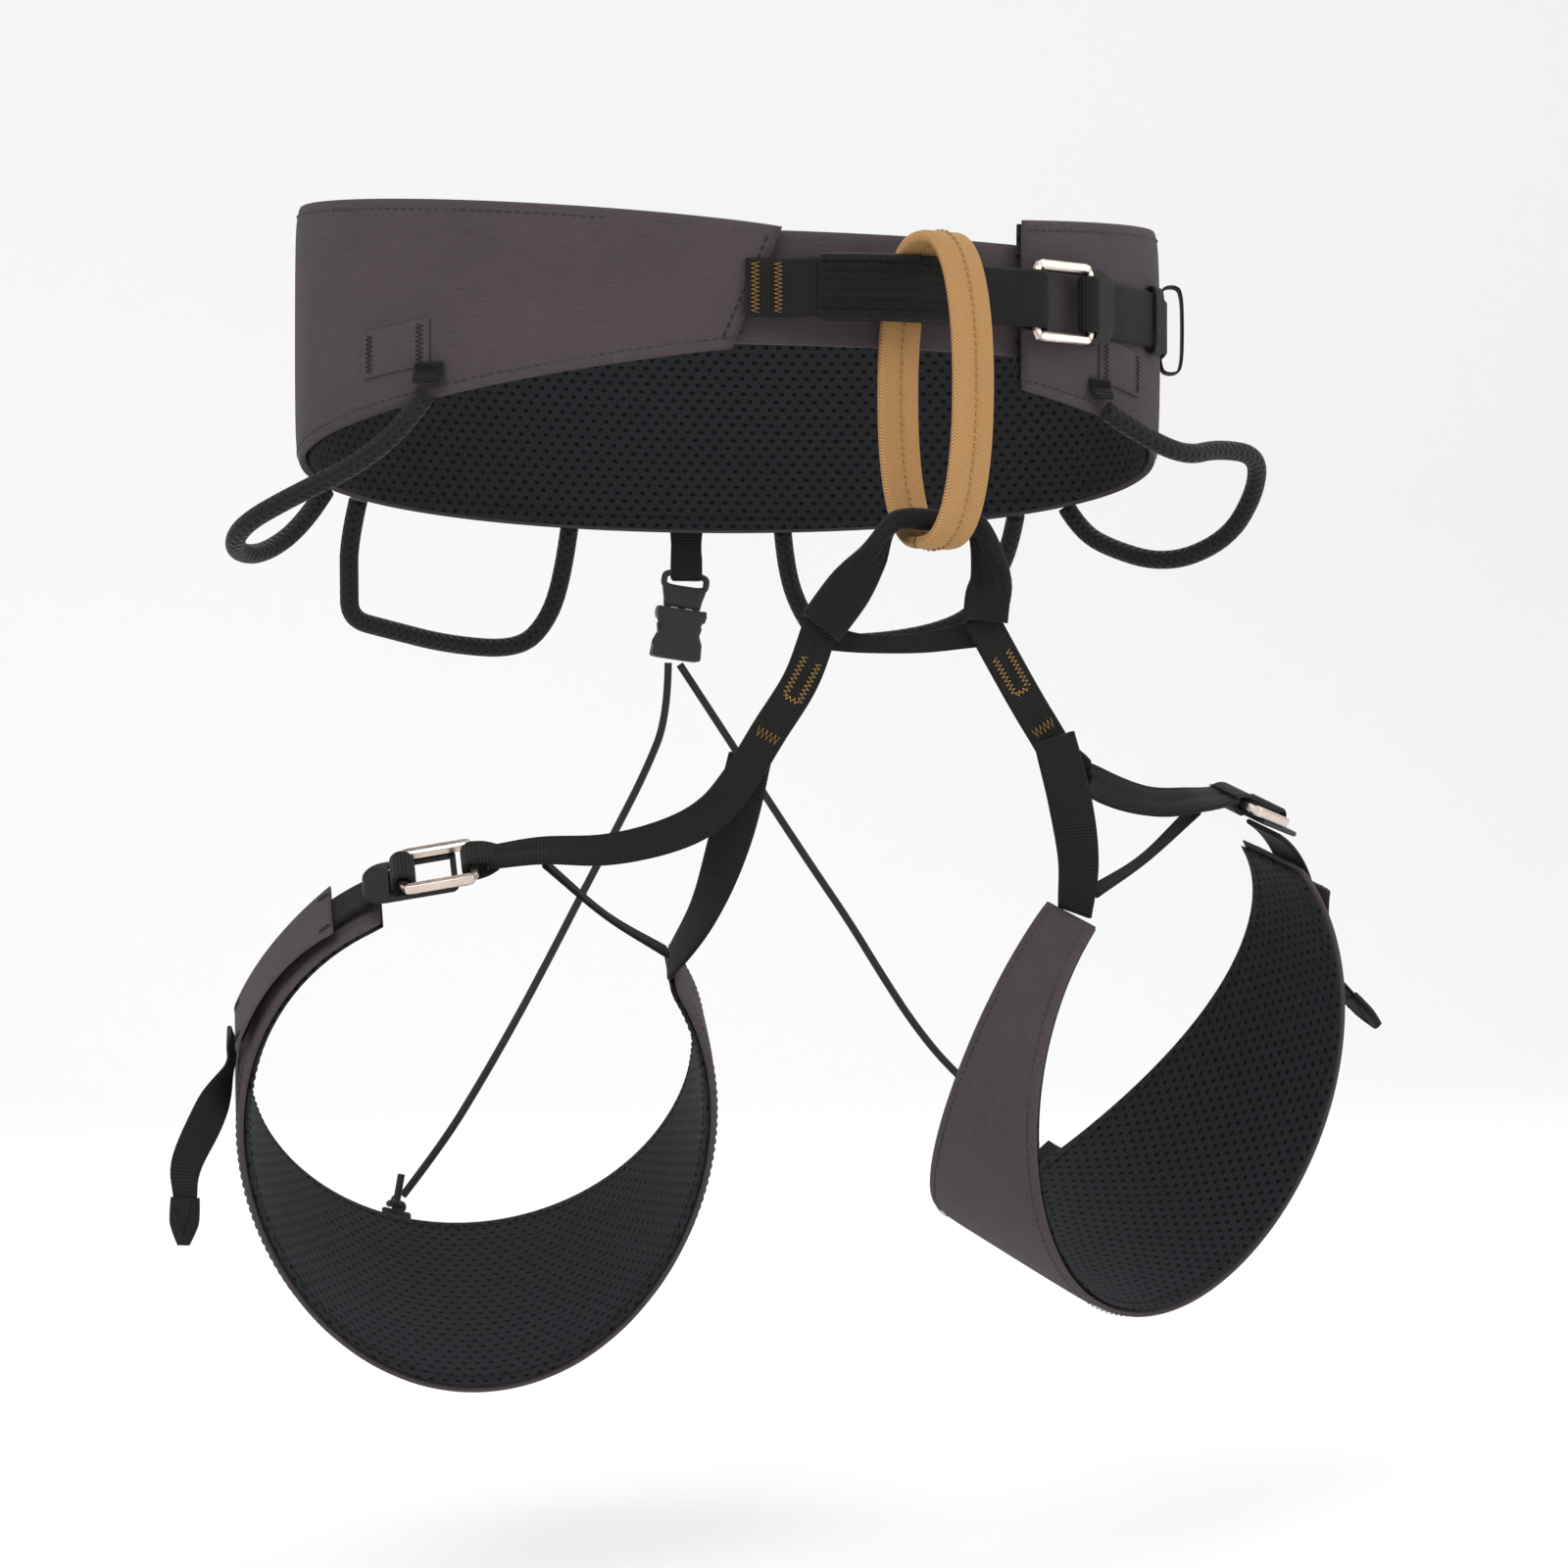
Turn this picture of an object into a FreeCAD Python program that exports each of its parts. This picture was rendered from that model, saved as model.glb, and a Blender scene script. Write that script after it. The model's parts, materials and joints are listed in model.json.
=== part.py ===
import FreeCAD, Part
import Sketcher
import os
from math import asin, ceil, cos, degrees, pi, radians, sin, sqrt, tan

# Climbing harness for one person, worn open at the front, in millimetres.
# Origin: centre of the waist opening at mid-height of the waist webbing.
# +Z is up, -Y is the wearer's front, +X is the wearer's left.

V = FreeCAD.Vector
doc = FreeCAD.newDocument("climbing_harness")

# ---------------------------------------------------------------- driving sizes

SIZES = {
    # waist ring, measured to the inside of its lining
    "waist_half_width": 152.0,
    "waist_half_depth": 85.0,
    "belt_lining": 1.5,
    "belt_padding": 2.8,
    "belt_fabric": 1.4,
    "belt_front_top": 21.0,
    "belt_back_top": 42.0,
    "belt_front_low": -18.5,
    "belt_back_low": -70.0,
    "belt_top_power": 0.4,
    "belt_low_power": 0.6,
    # the belt is open at the front, offset to the wearer's left
    "gap_right_top": 2.0,
    "gap_right_lean": 0.43,
    "gap_left": 85.0,
    "tongue_height": 39.0,
    "tongue_thick": 3.0,
    "tongue_right": -35.0,
    "tongue_left": 106.0,
    # webbing
    "waist_webbing_width": 20.0,
    "leg_webbing_width": 16.0,
    "leg_strap_width": 12.5,
    "tail_width": 14.0,
    "bridge_thick": 3.4,
    "bridge_set_back": 3.5,
    "cross_strap_height": 9.0,
    # hip patches, below the waist webbing
    "patch_front": 131.0,
    "patch_back": 118.0,
    "patch_gap": 1.0,
    "patch_height": 16.0,
    "patch_thick": 1.2,
    # elastic keepers on the waist tail
    "keeper_wall": 0.8,
    "keeper_edge": 3.0,
    "end_keeper_edge": 7.0,
    "webbing_thick": 1.8,
    "strap_thick": 2.6,
    "sleeve_edge": 1.5,
    "sleeve_thick": 6.5,
    "sleeve_start": 8.0,
    "sleeve_end": 58.0,
    "tie_in_bulge": 12.5,
    # belay loop
    "belay_height": 106.6,
    "belay_width": 49.0,
    "belay_thick": 4.4,
    "belay_band": 16.0,
    "belay_corner": 18.4,
    "belay_x": 46.0,
    "belay_reach": 27.49,
    "belay_top": 18.3,
    "belay_turn": 19.5,
    # buckles
    "buckle_length": 27.0,
    "buckle_play": 0.8,
    "adjuster_start": 8.0,
    "buckle_rail": 3.2,
    "buckle_bar": 3.0,
    "buckle_thick": 3.0,
    "plate_length": 32.0,
    "plate_thick": 1.8,
    "plate_start": -6.0,
    "plate_edge": 2.0,
    "plate_window": 21.0,
    "waist_buckle_angle": 141.5,
    # leg loops
    "pad_back_height": 93.0,
    "pad_end_height": 21.0,
    "pad_lining": 3.4,
    "pad_fabric": 1.4,
    # gear loops
    "gear_loop_thick": 7.0,
    # rear riser
    "riser_strap_width": 13.0,
    "riser_strap_length": 19.0,
    "riser_lean": 8.0,
    "rear_buckle_width": 20.0,
    "rear_buckle_thick": 8.0,
    "socket_length": 20.0,
    "male_length": 14.0,
    "prong_length": 14.0,
    "male_bar": 8.0,
    "male_thick": 5.0,
    "prong_thick": 3.6,
    "riser_cord_thick": 3.0,
    "cord_spacing": 4.6,
    "knot_radius": 4.2,
    # running clearance between separate pieces
    "clearance": 0.4,
}

sheet = doc.addObject("Spreadsheet::Sheet", "Sizes")
for row, (alias, number) in enumerate(SIZES.items(), start=1):
    sheet.set(f"A{row}", alias.replace("_", " "))
    sheet.set(f"B{row}", str(number))
    sheet.setAlias(f"B{row}", alias)
doc.recompute()


def size(alias):
    """The value that a cell of the sheet holds."""
    return float(sheet.get(alias))


clear = size("clearance")
webbing = size("webbing_thick")
nodes = []


# ---------------------------------------------------------------- general helpers

def piece(label, shape, placement=None):
    """A sub-part whose shape is worked out from the sheet."""
    feature = doc.addObject("Part::Feature", label)
    feature.Label = label
    feature.Shape = shape
    if placement is not None:
        feature.Placement = placement
    nodes.append(feature)
    return feature


def frame_at(origin, x_axis, z_axis):
    """A placement whose X and Z axes point as given."""
    turn = FreeCAD.Rotation(x_axis, z_axis.cross(x_axis), z_axis, "ZXY")
    return FreeCAD.Placement(origin, turn)


def ring_point(ring, angle, lift=0.0, height=0.0):
    """A point on an oval ring. The angle is 0 at the back and grows towards +X."""
    turn = radians(angle)
    on_ring = V(ring[0] * sin(turn), ring[1] * cos(turn), height)
    return on_ring + ring_normal(ring, angle) * lift


def ring_normal(ring, angle):
    turn = radians(angle)
    return V(sin(turn) / ring[0], cos(turn) / ring[1], 0).normalize()


def ring_tangent(ring, angle):
    turn = radians(angle)
    return V(cos(turn) * ring[0], -sin(turn) * ring[1], 0).normalize()


def ring_radius(ring, angle):
    """Local speed of the ring's outline per radian of its angle."""
    turn = radians(angle)
    return sqrt((cos(turn) * ring[0]) ** 2 + (sin(turn) * ring[1]) ** 2)


def spline(points):
    curve = Part.BSplineCurve()
    curve.interpolate(points)
    return curve.toShape()


def closed_prism(side_a, side_b, direction):
    """A prism over the area between two open curves that run the same way."""
    edges = [
        spline(side_a),
        Part.makeLine(side_a[-1], side_b[-1]),
        spline(side_b),
        Part.makeLine(side_b[0], side_a[0]),
    ]
    face = Part.Face(Part.Wire(Part.__sortEdges__(edges)))
    return face.extrude(direction)


def band(ring, start, end, inner, outer, low, high):
    """Part of an upright oval wall between two lifts and two heights."""
    steps = max(4, ceil(abs(end - start) / 9))
    angles = [start + (end - start) * i / steps for i in range(steps + 1)]
    side_a = [ring_point(ring, a, inner, low) for a in angles]
    side_b = [ring_point(ring, a, outer, low) for a in angles]
    return closed_prism(side_a, side_b, V(0, 0, high - low))


def oval_face(ring):
    """A flat face bounded by a full ellipse."""
    major, minor = V(ring[0], 0, 0), V(0, ring[1], 0)
    if ring[0] < ring[1]:
        major, minor = minor, major
    return Part.Face(Part.Wire(Part.Ellipse(major, minor, V(0, 0, 0)).toShape()))


def oval_wall(ring, inner, outer, reach):
    """A full oval wall, reach above and below the ring's plane."""
    shapes = []
    for lift in (outer, inner):
        face = oval_face((ring[0] + lift, ring[1] + lift))
        face.translate(V(0, 0, -reach))
        shapes.append(face.extrude(V(0, 0, 2 * reach)))
    return shapes[0].cut(shapes[1])


def plan_strip(points, thick, low, high):
    """A strip that stands on edge and follows points seen from above."""
    curve = Part.BSplineCurve()
    curve.interpolate(points)
    side_a, side_b = [], []
    for point in points:
        along = curve.tangent(curve.parameter(point))[0]
        across = V(along.y, -along.x, 0).normalize() * (thick / 2)
        side_a.append(point + across + V(0, 0, low))
        side_b.append(point - across + V(0, 0, low))
    return closed_prism(side_a, side_b, V(0, 0, high - low))


def ribbon(stations, thick):
    """A flat strap through stations of centre, width direction and width."""
    wires = []
    for i, (centre, across, width) in enumerate(stations):
        before = stations[max(i - 1, 0)][0]
        after = stations[min(i + 1, len(stations) - 1)][0]
        along = (after - before).normalize()
        side = (across - along * across.dot(along)).normalize() * (width / 2)
        up = along.cross(side).normalize() * (thick / 2)
        corners = [centre + side + up, centre - side + up, centre - side - up, centre + side - up]
        wires.append(Part.makePolygon(corners + corners[:1]))
    return Part.makeLoft(wires, True, True)


def tube_path(points):
    """Straight runs joined by tangent arcs as large as the runs allow."""
    edges, radii, here = [], [], points[0]
    for i in range(1, len(points) - 1):
        back = points[i - 1] - points[i]
        ahead = points[i + 1] - points[i]
        half_turn = (pi - back.getAngle(ahead)) / 2
        trim = 0.45 * min(back.Length, ahead.Length)
        radii.append(trim / tan(half_turn))
        start = points[i] + back.normalize() * trim
        end = points[i] + ahead.normalize() * trim
        middle_way = (start + end) * 0.5 - points[i]
        sagitta = radii[-1] / cos(half_turn) - radii[-1]
        middle = points[i] + middle_way.normalize() * sagitta
        edges.append(Part.LineSegment(here, start).toShape())
        edges.append(Part.Arc(start, middle, end).toShape())
        here = end
    edges.append(Part.LineSegment(here, points[-1]).toShape())
    return Part.Wire(edges), radii


def tube(label, points, thick):
    """A round cord along its route, with its radii and volume printed."""
    path, radii = tube_path(points)
    along = (points[1] - points[0]).normalize()
    rim = Part.Wire(Part.makeCircle(thick / 2, points[0], along))
    solid = path.makePipeShell([rim], True, False)
    expected = pi * thick**2 / 4 * path.Length
    print(
        f"{label}: length {path.Length:.0f}, radii {min(radii):.1f} to {max(radii):.1f},"
        f" volume {solid.Volume / expected:.4f} of section times length"
    )
    return solid


def between(start, end, offsets):
    """A route from start to end. Each offset is a share of the way and a shift."""
    inner = [start + (end - start) * share + V(*shift) for share, shift in offsets]
    return [start] + inner + [end]


# ---------------------------------------------------------------- sketch helpers

def new_body(label, placement):
    body = doc.addObject("PartDesign::Body", label)
    body.Label = label
    body.Placement = placement
    nodes.append(body)
    return body


def rectangle(body, name, bounds, plane_name="XY_Plane"):
    """A sketched rectangle on one of the body's planes: left, right, low and high."""
    sketch = body.newObject("Sketcher::SketchObject", name)
    plane = next(f for f in body.Origin.OriginFeatures if f.Role == plane_name)
    sketch.AttachmentSupport = [(plane, "")]
    sketch.MapMode = "FlatFace"
    corners = [V(-5, -5, 0), V(5, -5, 0), V(5, 5, 0), V(-5, 5, 0)]
    for i in range(4):
        sketch.addGeometry(Part.LineSegment(corners[i], corners[(i + 1) % 4]), False)
    for i in range(4):
        sketch.addConstraint(Sketcher.Constraint("Coincident", i, 2, (i + 1) % 4, 1))
        kind = "Horizontal" if i % 2 == 0 else "Vertical"
        sketch.addConstraint(Sketcher.Constraint(kind, i))
    measures = [("DistanceX", 0, 1), ("DistanceX", 0, 2), ("DistanceY", 0, 1), ("DistanceY", 2, 1)]
    starts = [-5.0, 5.0, -5.0, 5.0]
    for (kind, line, end), start, bound in zip(measures, starts, bounds):
        index = sketch.addConstraint(Sketcher.Constraint(kind, -1, 1, line, end, start))
        sketch.setExpression(f"Constraints[{index}]", bound)
    return sketch


def pad(body, name, sketch, length):
    """A slab that grows equally to both sides of its sketch."""
    slab = body.newObject("PartDesign::Pad", name)
    slab.Profile = sketch
    slab.Midplane = True
    slab.setExpression("Length", length)
    doc.recompute()
    return slab


def pocket(body, name, sketch, length=None):
    """A cut to both sides of its sketch, through everything unless it has a length."""
    cut = body.newObject("PartDesign::Pocket", name)
    cut.Profile = sketch
    cut.Midplane = True
    if length is None:
        cut.Type = 1
    else:
        cut.setExpression("Length", length)
    doc.recompute()
    return cut


def upright_edges(feature):
    """Names of the straight edges along the body's own Z."""
    names = []
    for number, edge in enumerate(feature.Shape.Edges, start=1):
        ends = [v.Point for v in edge.Vertexes]
        if len(ends) == 2 and (ends[1] - ends[0]).cross(V(0, 0, 1)).Length < 1e-6:
            names.append((f"Edge{number}", edge.CenterOfMass))
    return names


def fillet(body, name, base, edges, radius):
    rounding = body.newObject("PartDesign::Fillet", name)
    rounding.Base = (base, edges)
    rounding.setExpression("Radius", radius)
    doc.recompute()
    return rounding


# ---------------------------------------------------------------- waist belt

waist = (size("waist_half_width"), size("waist_half_depth"))
lining_out = size("belt_lining")
padding_out = lining_out + size("belt_padding")
fabric_out = padding_out + size("belt_fabric")


def belt_edges(depth):
    """Top and bottom height of the belt at a depth along Y."""
    share = min(max((1 + depth / waist[1]) / 2, 0), 1)
    top_rise = size("belt_back_top") - size("belt_front_top")
    low_drop = size("belt_back_low") - size("belt_front_low")
    top = size("belt_front_top") + top_rise * share ** size("belt_top_power")
    low = size("belt_front_low") + low_drop * share ** size("belt_low_power")
    return top, low


def side_profile(edge_heights, half_depth, half_width, margin):
    """A prism along X with the outline of a belt or pad seen from the side."""
    shares = (0.0, 0.03, 0.12, 0.3, 0.5, 0.75, 1.0)
    depths = [half_depth * (2 * share - 1) for share in shares]
    left = -half_width - margin
    tops, lows = [], []
    for depth in depths:
        top, low = edge_heights(depth)
        tops.append(V(left, depth, top))
        lows.append(V(left, depth, low))
    prism = closed_prism(tops, lows, V(2 * (half_width + margin), 0, 0))
    blocks = [prism]
    for end, side in ((0, -1), (-1, 1)):
        height = tops[end].z - lows[end].z
        corner = V(left, lows[end].y - (margin if side < 0 else 0), lows[end].z)
        blocks.append(Part.makeBox(2 * (half_width + margin), margin, height, corner))
    return blocks[0].fuse(blocks[1:])


belt_side = side_profile(belt_edges, waist[1], waist[0], 12.0)
lean = size("gap_right_lean")
gap_top, gap_low = 60.0, -80.0
gap_outline = [
    V(size("gap_right_top") + (gap_top - size("belt_front_top")) * lean - 4, -150, gap_top),
    V(size("gap_left"), -150, gap_top),
    V(size("gap_left"), -150, gap_low),
    V(size("gap_right_top") + (gap_low - size("belt_front_top")) * lean - 4, -150, gap_low),
]
front_gap = Part.Face(Part.makePolygon(gap_outline + gap_outline[:1])).extrude(V(0, 150, 0))
reach = size("belt_back_top") - size("belt_back_low")
for label, inner, outer in (
    ("belt_liner", 0.0, lining_out),
    ("belt_foam", lining_out, padding_out),
    ("belt_shell", padding_out, fabric_out),
):
    wall = oval_wall(waist, inner, outer, reach).common(belt_side)
    piece(label, wall.cut(front_gap))

tongue_low = size("belt_front_top") - size("tongue_height")
tongue_out = -clear
tongue_in = tongue_out - size("tongue_thick")


def front_angle(x, lift=0.0):
    """Ring angle of a point at the front of the waist, from its X."""
    return 180.0 - degrees(asin(x / (waist[0] + lift)))


tongue = band(
    waist,
    front_angle(size("tongue_left")),
    front_angle(size("tongue_right")),
    tongue_in,
    tongue_out,
    tongue_low,
    size("belt_front_top"),
)
piece("front_tongue", tongue)

patch_in = fabric_out + clear
patch_out = patch_in + size("patch_thick")
patch_top = -size("waist_webbing_width") / 2 - size("patch_gap")
patch_low = patch_top - size("patch_height")
back, front = size("patch_back"), size("patch_front")
patches = [
    band(waist, side * back, side * front, patch_in, patch_out, patch_low, patch_top)
    for side in (-1, 1)
]
piece("hip_patches", Part.makeCompound(patches))

# ---------------------------------------------------------------- waist webbing

half_webbing = size("waist_webbing_width") / 2
webbing_lift = fabric_out + clear + webbing / 2
wrap_hole = sqrt(size("buckle_bar") ** 2 + size("buckle_thick") ** 2) / 2 + clear
wrap_radius = wrap_hole + webbing
bar_place = (size("buckle_length") - size("buckle_bar")) / 2
plate_drop = size("buckle_thick") / 2 + clear + size("plate_thick")
tail_lift = patch_out + webbing / 2
waist_buckle_lift = tail_lift + webbing / 2 + clear + plate_drop
buckle_angle = size("waist_buckle_angle")
waist_buckle_at = frame_at(
    ring_point(waist, buckle_angle, waist_buckle_lift),
    ring_tangent(waist, buckle_angle) * -1,
    ring_normal(waist, buckle_angle),
)


def wrap_round_bar(place, width):
    """Webbing folded round a cross bar, in a buckle's own frame."""
    base, axis = V(place, -width / 2, 0), V(0, 1, 0)
    fold = Part.makeCylinder(wrap_radius, width, base, axis)
    return fold.cut(Part.makeCylinder(wrap_hole, width, base, axis))


def on_waist_buckle(along, out):
    """A point in the waist buckle's own frame, along the webbing and outward."""
    return waist_buckle_at.multVec(V(along, 0, out))


bulge = size("tie_in_bulge")
mid_sleeve = (size("sleeve_start") + size("sleeve_end")) / 2
route = [
    ring_point(waist, front_angle(-15), webbing_lift + 0.2),
    ring_point(waist, front_angle(-10), webbing_lift + 0.3),
    ring_point(waist, front_angle(-4), webbing_lift + 1.2),
    ring_point(waist, front_angle(size("sleeve_start")), webbing_lift + 0.62 * bulge),
    ring_point(waist, front_angle(mid_sleeve), webbing_lift + bulge),
    ring_point(waist, front_angle(size("sleeve_end")), webbing_lift + 0.72 * bulge),
    on_waist_buckle(-bar_place - wrap_radius - 8, 0.6),
    on_waist_buckle(-bar_place - wrap_radius - clear, 0),
]
waist_strip = plan_strip(route, webbing, -half_webbing, half_webbing)
waist_fold = wrap_round_bar(-bar_place, 2 * half_webbing)
waist_fold.Placement = waist_buckle_at
piece("waist_webbing", Part.makeCompound([waist_strip, waist_fold]))

sleeve_half = half_webbing + size("sleeve_edge")
sleeve_body = plan_strip(route[3:6], size("sleeve_thick"), -sleeve_half, sleeve_half)
channel_half = half_webbing + clear
channel = plan_strip(route, webbing + 2 * clear, -channel_half, channel_half)
piece("tie_in_sleeve", sleeve_body.cut(channel))

tack_low, tack_high = -half_webbing + 1.5, half_webbing - 1.5
tacks = []
for x in (-12.0, -4.5):
    tack_in = webbing_lift + webbing / 2 + 1.8
    start, end = front_angle(x + 1), front_angle(x - 1)
    tacks.append(band(waist, start, end, tack_in, tack_in + 0.8, tack_low, tack_high))
piece("waist_bar_tacks", Part.makeCompound(tacks))

tail_route = [
    on_waist_buckle(bar_place + wrap_radius + clear, -plate_drop - clear - webbing / 2),
    on_waist_buckle(bar_place + wrap_radius + 6, -plate_drop - clear - webbing / 2 - 0.6),
    ring_point(waist, 122, tail_lift),
    ring_point(waist, 112, tail_lift),
    ring_point(waist, 101, tail_lift),
    ring_point(waist, 90, tail_lift),
    ring_point(waist, 80, tail_lift),
]
piece("waist_tail_webbing", plan_strip(tail_route, webbing, -half_webbing, half_webbing))


def keeper(ring, angle, length, wall, low, high, outer):
    """A flat elastic loop round webbing that lies on a ring, between two lifts."""
    span = degrees(length / ring_radius(ring, angle)) / 2
    start, end = angle - span, angle + span
    first = fabric_out + clear / 2
    body = band(ring, start, end, first, outer, low, high)
    hole = band(ring, start - 2, end + 2, first + wall, outer - wall, low + wall, high - wall)
    return body.cut(hole)


keeper_wall = size("keeper_wall")
keeper_out = tail_lift + webbing / 2 + clear + keeper_wall
high = half_webbing + size("keeper_edge")
piece("waist_keeper", keeper(waist, 113, 9, keeper_wall, -high, high, keeper_out))
high = half_webbing + size("end_keeper_edge")
piece("waist_end_keeper", keeper(waist, 97, 7, keeper_wall, -high, high, keeper_out + 5.0))

# ---------------------------------------------------------------- buckles


def buckle(prefix, placement, webbing_alias):
    """A metal frame over a black plate. The webbing wraps both cross bars."""
    half_length = "Sizes.buckle_length / 2"
    half_width = f"(Sizes.{webbing_alias} / 2 + Sizes.buckle_play + Sizes.buckle_rail)"
    frame = new_body(f"{prefix}_buckle_frame", placement)
    outline = rectangle(
        frame,
        f"{prefix}_frame_outline",
        (f"-({half_length})", half_length, f"-({half_width})", half_width),
    )
    slab = pad(frame, f"{prefix}_frame_slab", outline, "Sizes.buckle_thick")
    inner_x = f"{half_length} - Sizes.buckle_bar"
    inner_y = f"{half_width} - Sizes.buckle_rail"
    hole = rectangle(
        frame,
        f"{prefix}_frame_window",
        (f"-({inner_x})", inner_x, f"-({inner_y})", inner_y),
    )
    pocket(frame, f"{prefix}_frame_opening", hole)
    outer = [
        name
        for name, centre in upright_edges(frame.Tip)
        if abs(abs(centre.x) - size("buckle_length") / 2) < 1e-6
    ]
    fillet(frame, f"{prefix}_frame_rounding", frame.Tip, outer, "Sizes.buckle_rail * 0.6")

    drop = V(0, 0, -(plate_drop - size("plate_thick") / 2))
    plate_place = placement.multiply(FreeCAD.Placement(drop, FreeCAD.Rotation()))
    plate = new_body(f"{prefix}_buckle_plate", plate_place)
    plate_half = f"{half_width} - Sizes.clearance"
    plate_end = "Sizes.plate_start + Sizes.plate_length"
    outline = rectangle(
        plate,
        f"{prefix}_plate_outline",
        ("Sizes.plate_start", plate_end, f"-({plate_half})", plate_half),
    )
    slab = pad(plate, f"{prefix}_plate_slab", outline, "Sizes.plate_thick")
    slot_half = f"Sizes.{webbing_alias} / 2 + 2 * Sizes.clearance"
    slot = rectangle(
        plate,
        f"{prefix}_plate_slot",
        (
            "Sizes.plate_start + Sizes.plate_edge",
            "Sizes.plate_start + Sizes.plate_edge + Sizes.plate_window",
            f"-({slot_half})",
            slot_half,
        ),
    )
    pocket(plate, f"{prefix}_plate_window", slot)
    far_end = size("plate_start") + size("plate_length")
    tip = [n for n, c in upright_edges(plate.Tip) if abs(c.x - far_end) < 1e-6]
    fillet(plate, f"{prefix}_plate_rounding", plate.Tip, tip, f"{half_width} * 0.54")

    adjuster = wrap_round_bar(bar_place, size(webbing_alias))
    piece(f"{prefix}_adjuster_wrap", adjuster, placement)


buckle("waist", waist_buckle_at, "waist_webbing_width")

# ---------------------------------------------------------------- belay loop


def rounded_outline(width, height, radius):
    """A rounded rectangle centred on the origin of the XZ plane."""
    half_w, half_h = width / 2, height / 2
    inner_w, inner_h = half_w - radius, half_h - radius
    edges = []
    for turn in range(4):
        spin = FreeCAD.Rotation(V(0, 1, 0), -90 * turn)
        a, b = (half_w, inner_h) if turn % 2 == 0 else (half_h, inner_w)
        start, end = V(a, 0, -b), V(a, 0, b)
        centre = V(a - radius, 0, b)
        middle = centre + V(radius * sin(pi / 4), 0, radius * sin(pi / 4))
        corner_end = centre + V(0, 0, radius)
        turned = [spin.multVec(p) for p in (start, end, middle, corner_end)]
        edges.append(Part.makeLine(turned[0], turned[1]))
        edges.append(Part.Arc(turned[1], turned[2], turned[3]).toShape())
    return Part.Face(Part.Wire(edges))


belay_gap = size("belay_thick")
outer_face = rounded_outline(size("belay_width"), size("belay_height"), size("belay_corner"))
inner_face = rounded_outline(
    size("belay_width") - 2 * belay_gap,
    size("belay_height") - 2 * belay_gap,
    size("belay_corner") - belay_gap,
)
belay_ring = outer_face.cut(inner_face)
belay_ring.translate(V(0, -size("belay_band") / 2, 0))
belay_x = size("belay_x")
belay_y = ring_point(waist, front_angle(belay_x)).y - size("belay_reach")
belay_middle = V(belay_x, belay_y, size("belay_top") - size("belay_height") / 2)
belay_turn = FreeCAD.Rotation(V(0, 0, 1), -90 + size("belay_turn"))
belay_at = FreeCAD.Placement(belay_middle, belay_turn)
piece("belay_loop", belay_ring.extrude(V(0, size("belay_band"), 0)), belay_at)
belay_floor = size("belay_top") - size("belay_height") + belay_gap

# ---------------------------------------------------------------- leg bridge

strap = size("strap_thick")
leg_width = size("leg_webbing_width")
leg_strap_width = size("leg_strap_width")
bridge_thick = size("bridge_thick")
crest = belay_floor + clear + bridge_thick / 2
front_y = belay_y + size("bridge_set_back")
right_joint = V(7.6, front_y, -114.6)
left_joint = V(64.5, front_y, -112.0)
over = V(0, 1, 0)
lap_gap = bridge_thick / 2 + strap / 2 + 2 * clear
lap_length = 3.0


def facing(start, end):
    """Width direction of a strap that shows its flat side to the front."""
    along = (end - start).normalize()
    return V(0, 1, 0).cross(along).normalize()


crest_y = belay_y + 0.5
crest_x = belay_x
bridge_right = V(crest_x - 21.5, front_y - 1, crest - 10.0)
bridge_left = V(crest_x + 20.0, front_y - 1, crest - 13.5)
right_face, left_face = facing(right_joint, bridge_right), facing(bridge_left, left_joint)
bridge = ribbon(
    [
        (right_joint, right_face, leg_width),
        (right_joint + (bridge_right - right_joint) * 0.55, right_face, leg_width),
        (bridge_right, (right_face * 0.8 + over * 0.6), leg_width - 2),
        (V(crest_x - 14.0, crest_y, crest + 1.4), over, leg_width - 4),
        (V(crest_x, crest_y, crest + 1.7), over, leg_width - 4),
        (V(crest_x + 14.0, crest_y, crest + 1.3), over, leg_width - 4),
        (bridge_left, (over * 0.6 + left_face * 0.8), leg_width - 2),
        (left_joint + (bridge_left - left_joint) * 0.4, left_face, leg_width),
        (left_joint, left_face, leg_width),
    ],
    bridge_thick,
)
piece("leg_bridge", bridge)

cross_y = front_y + lap_gap + strap / 2 + 0.8 + 4 * clear
cross_route = [
    V(right_joint.x + 5.4, cross_y, right_joint.z - 3.4),
    V((right_joint.x + left_joint.x) / 2, cross_y, right_joint.z - 4.9),
    V(left_joint.x - 3.5, cross_y, left_joint.z - 4.5),
]
cross_height = size("cross_strap_height")
piece("cross_strap", ribbon([(p, V(0, 0, 1), cross_height) for p in cross_route], 1.6))

# ---------------------------------------------------------------- leg loops

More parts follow.
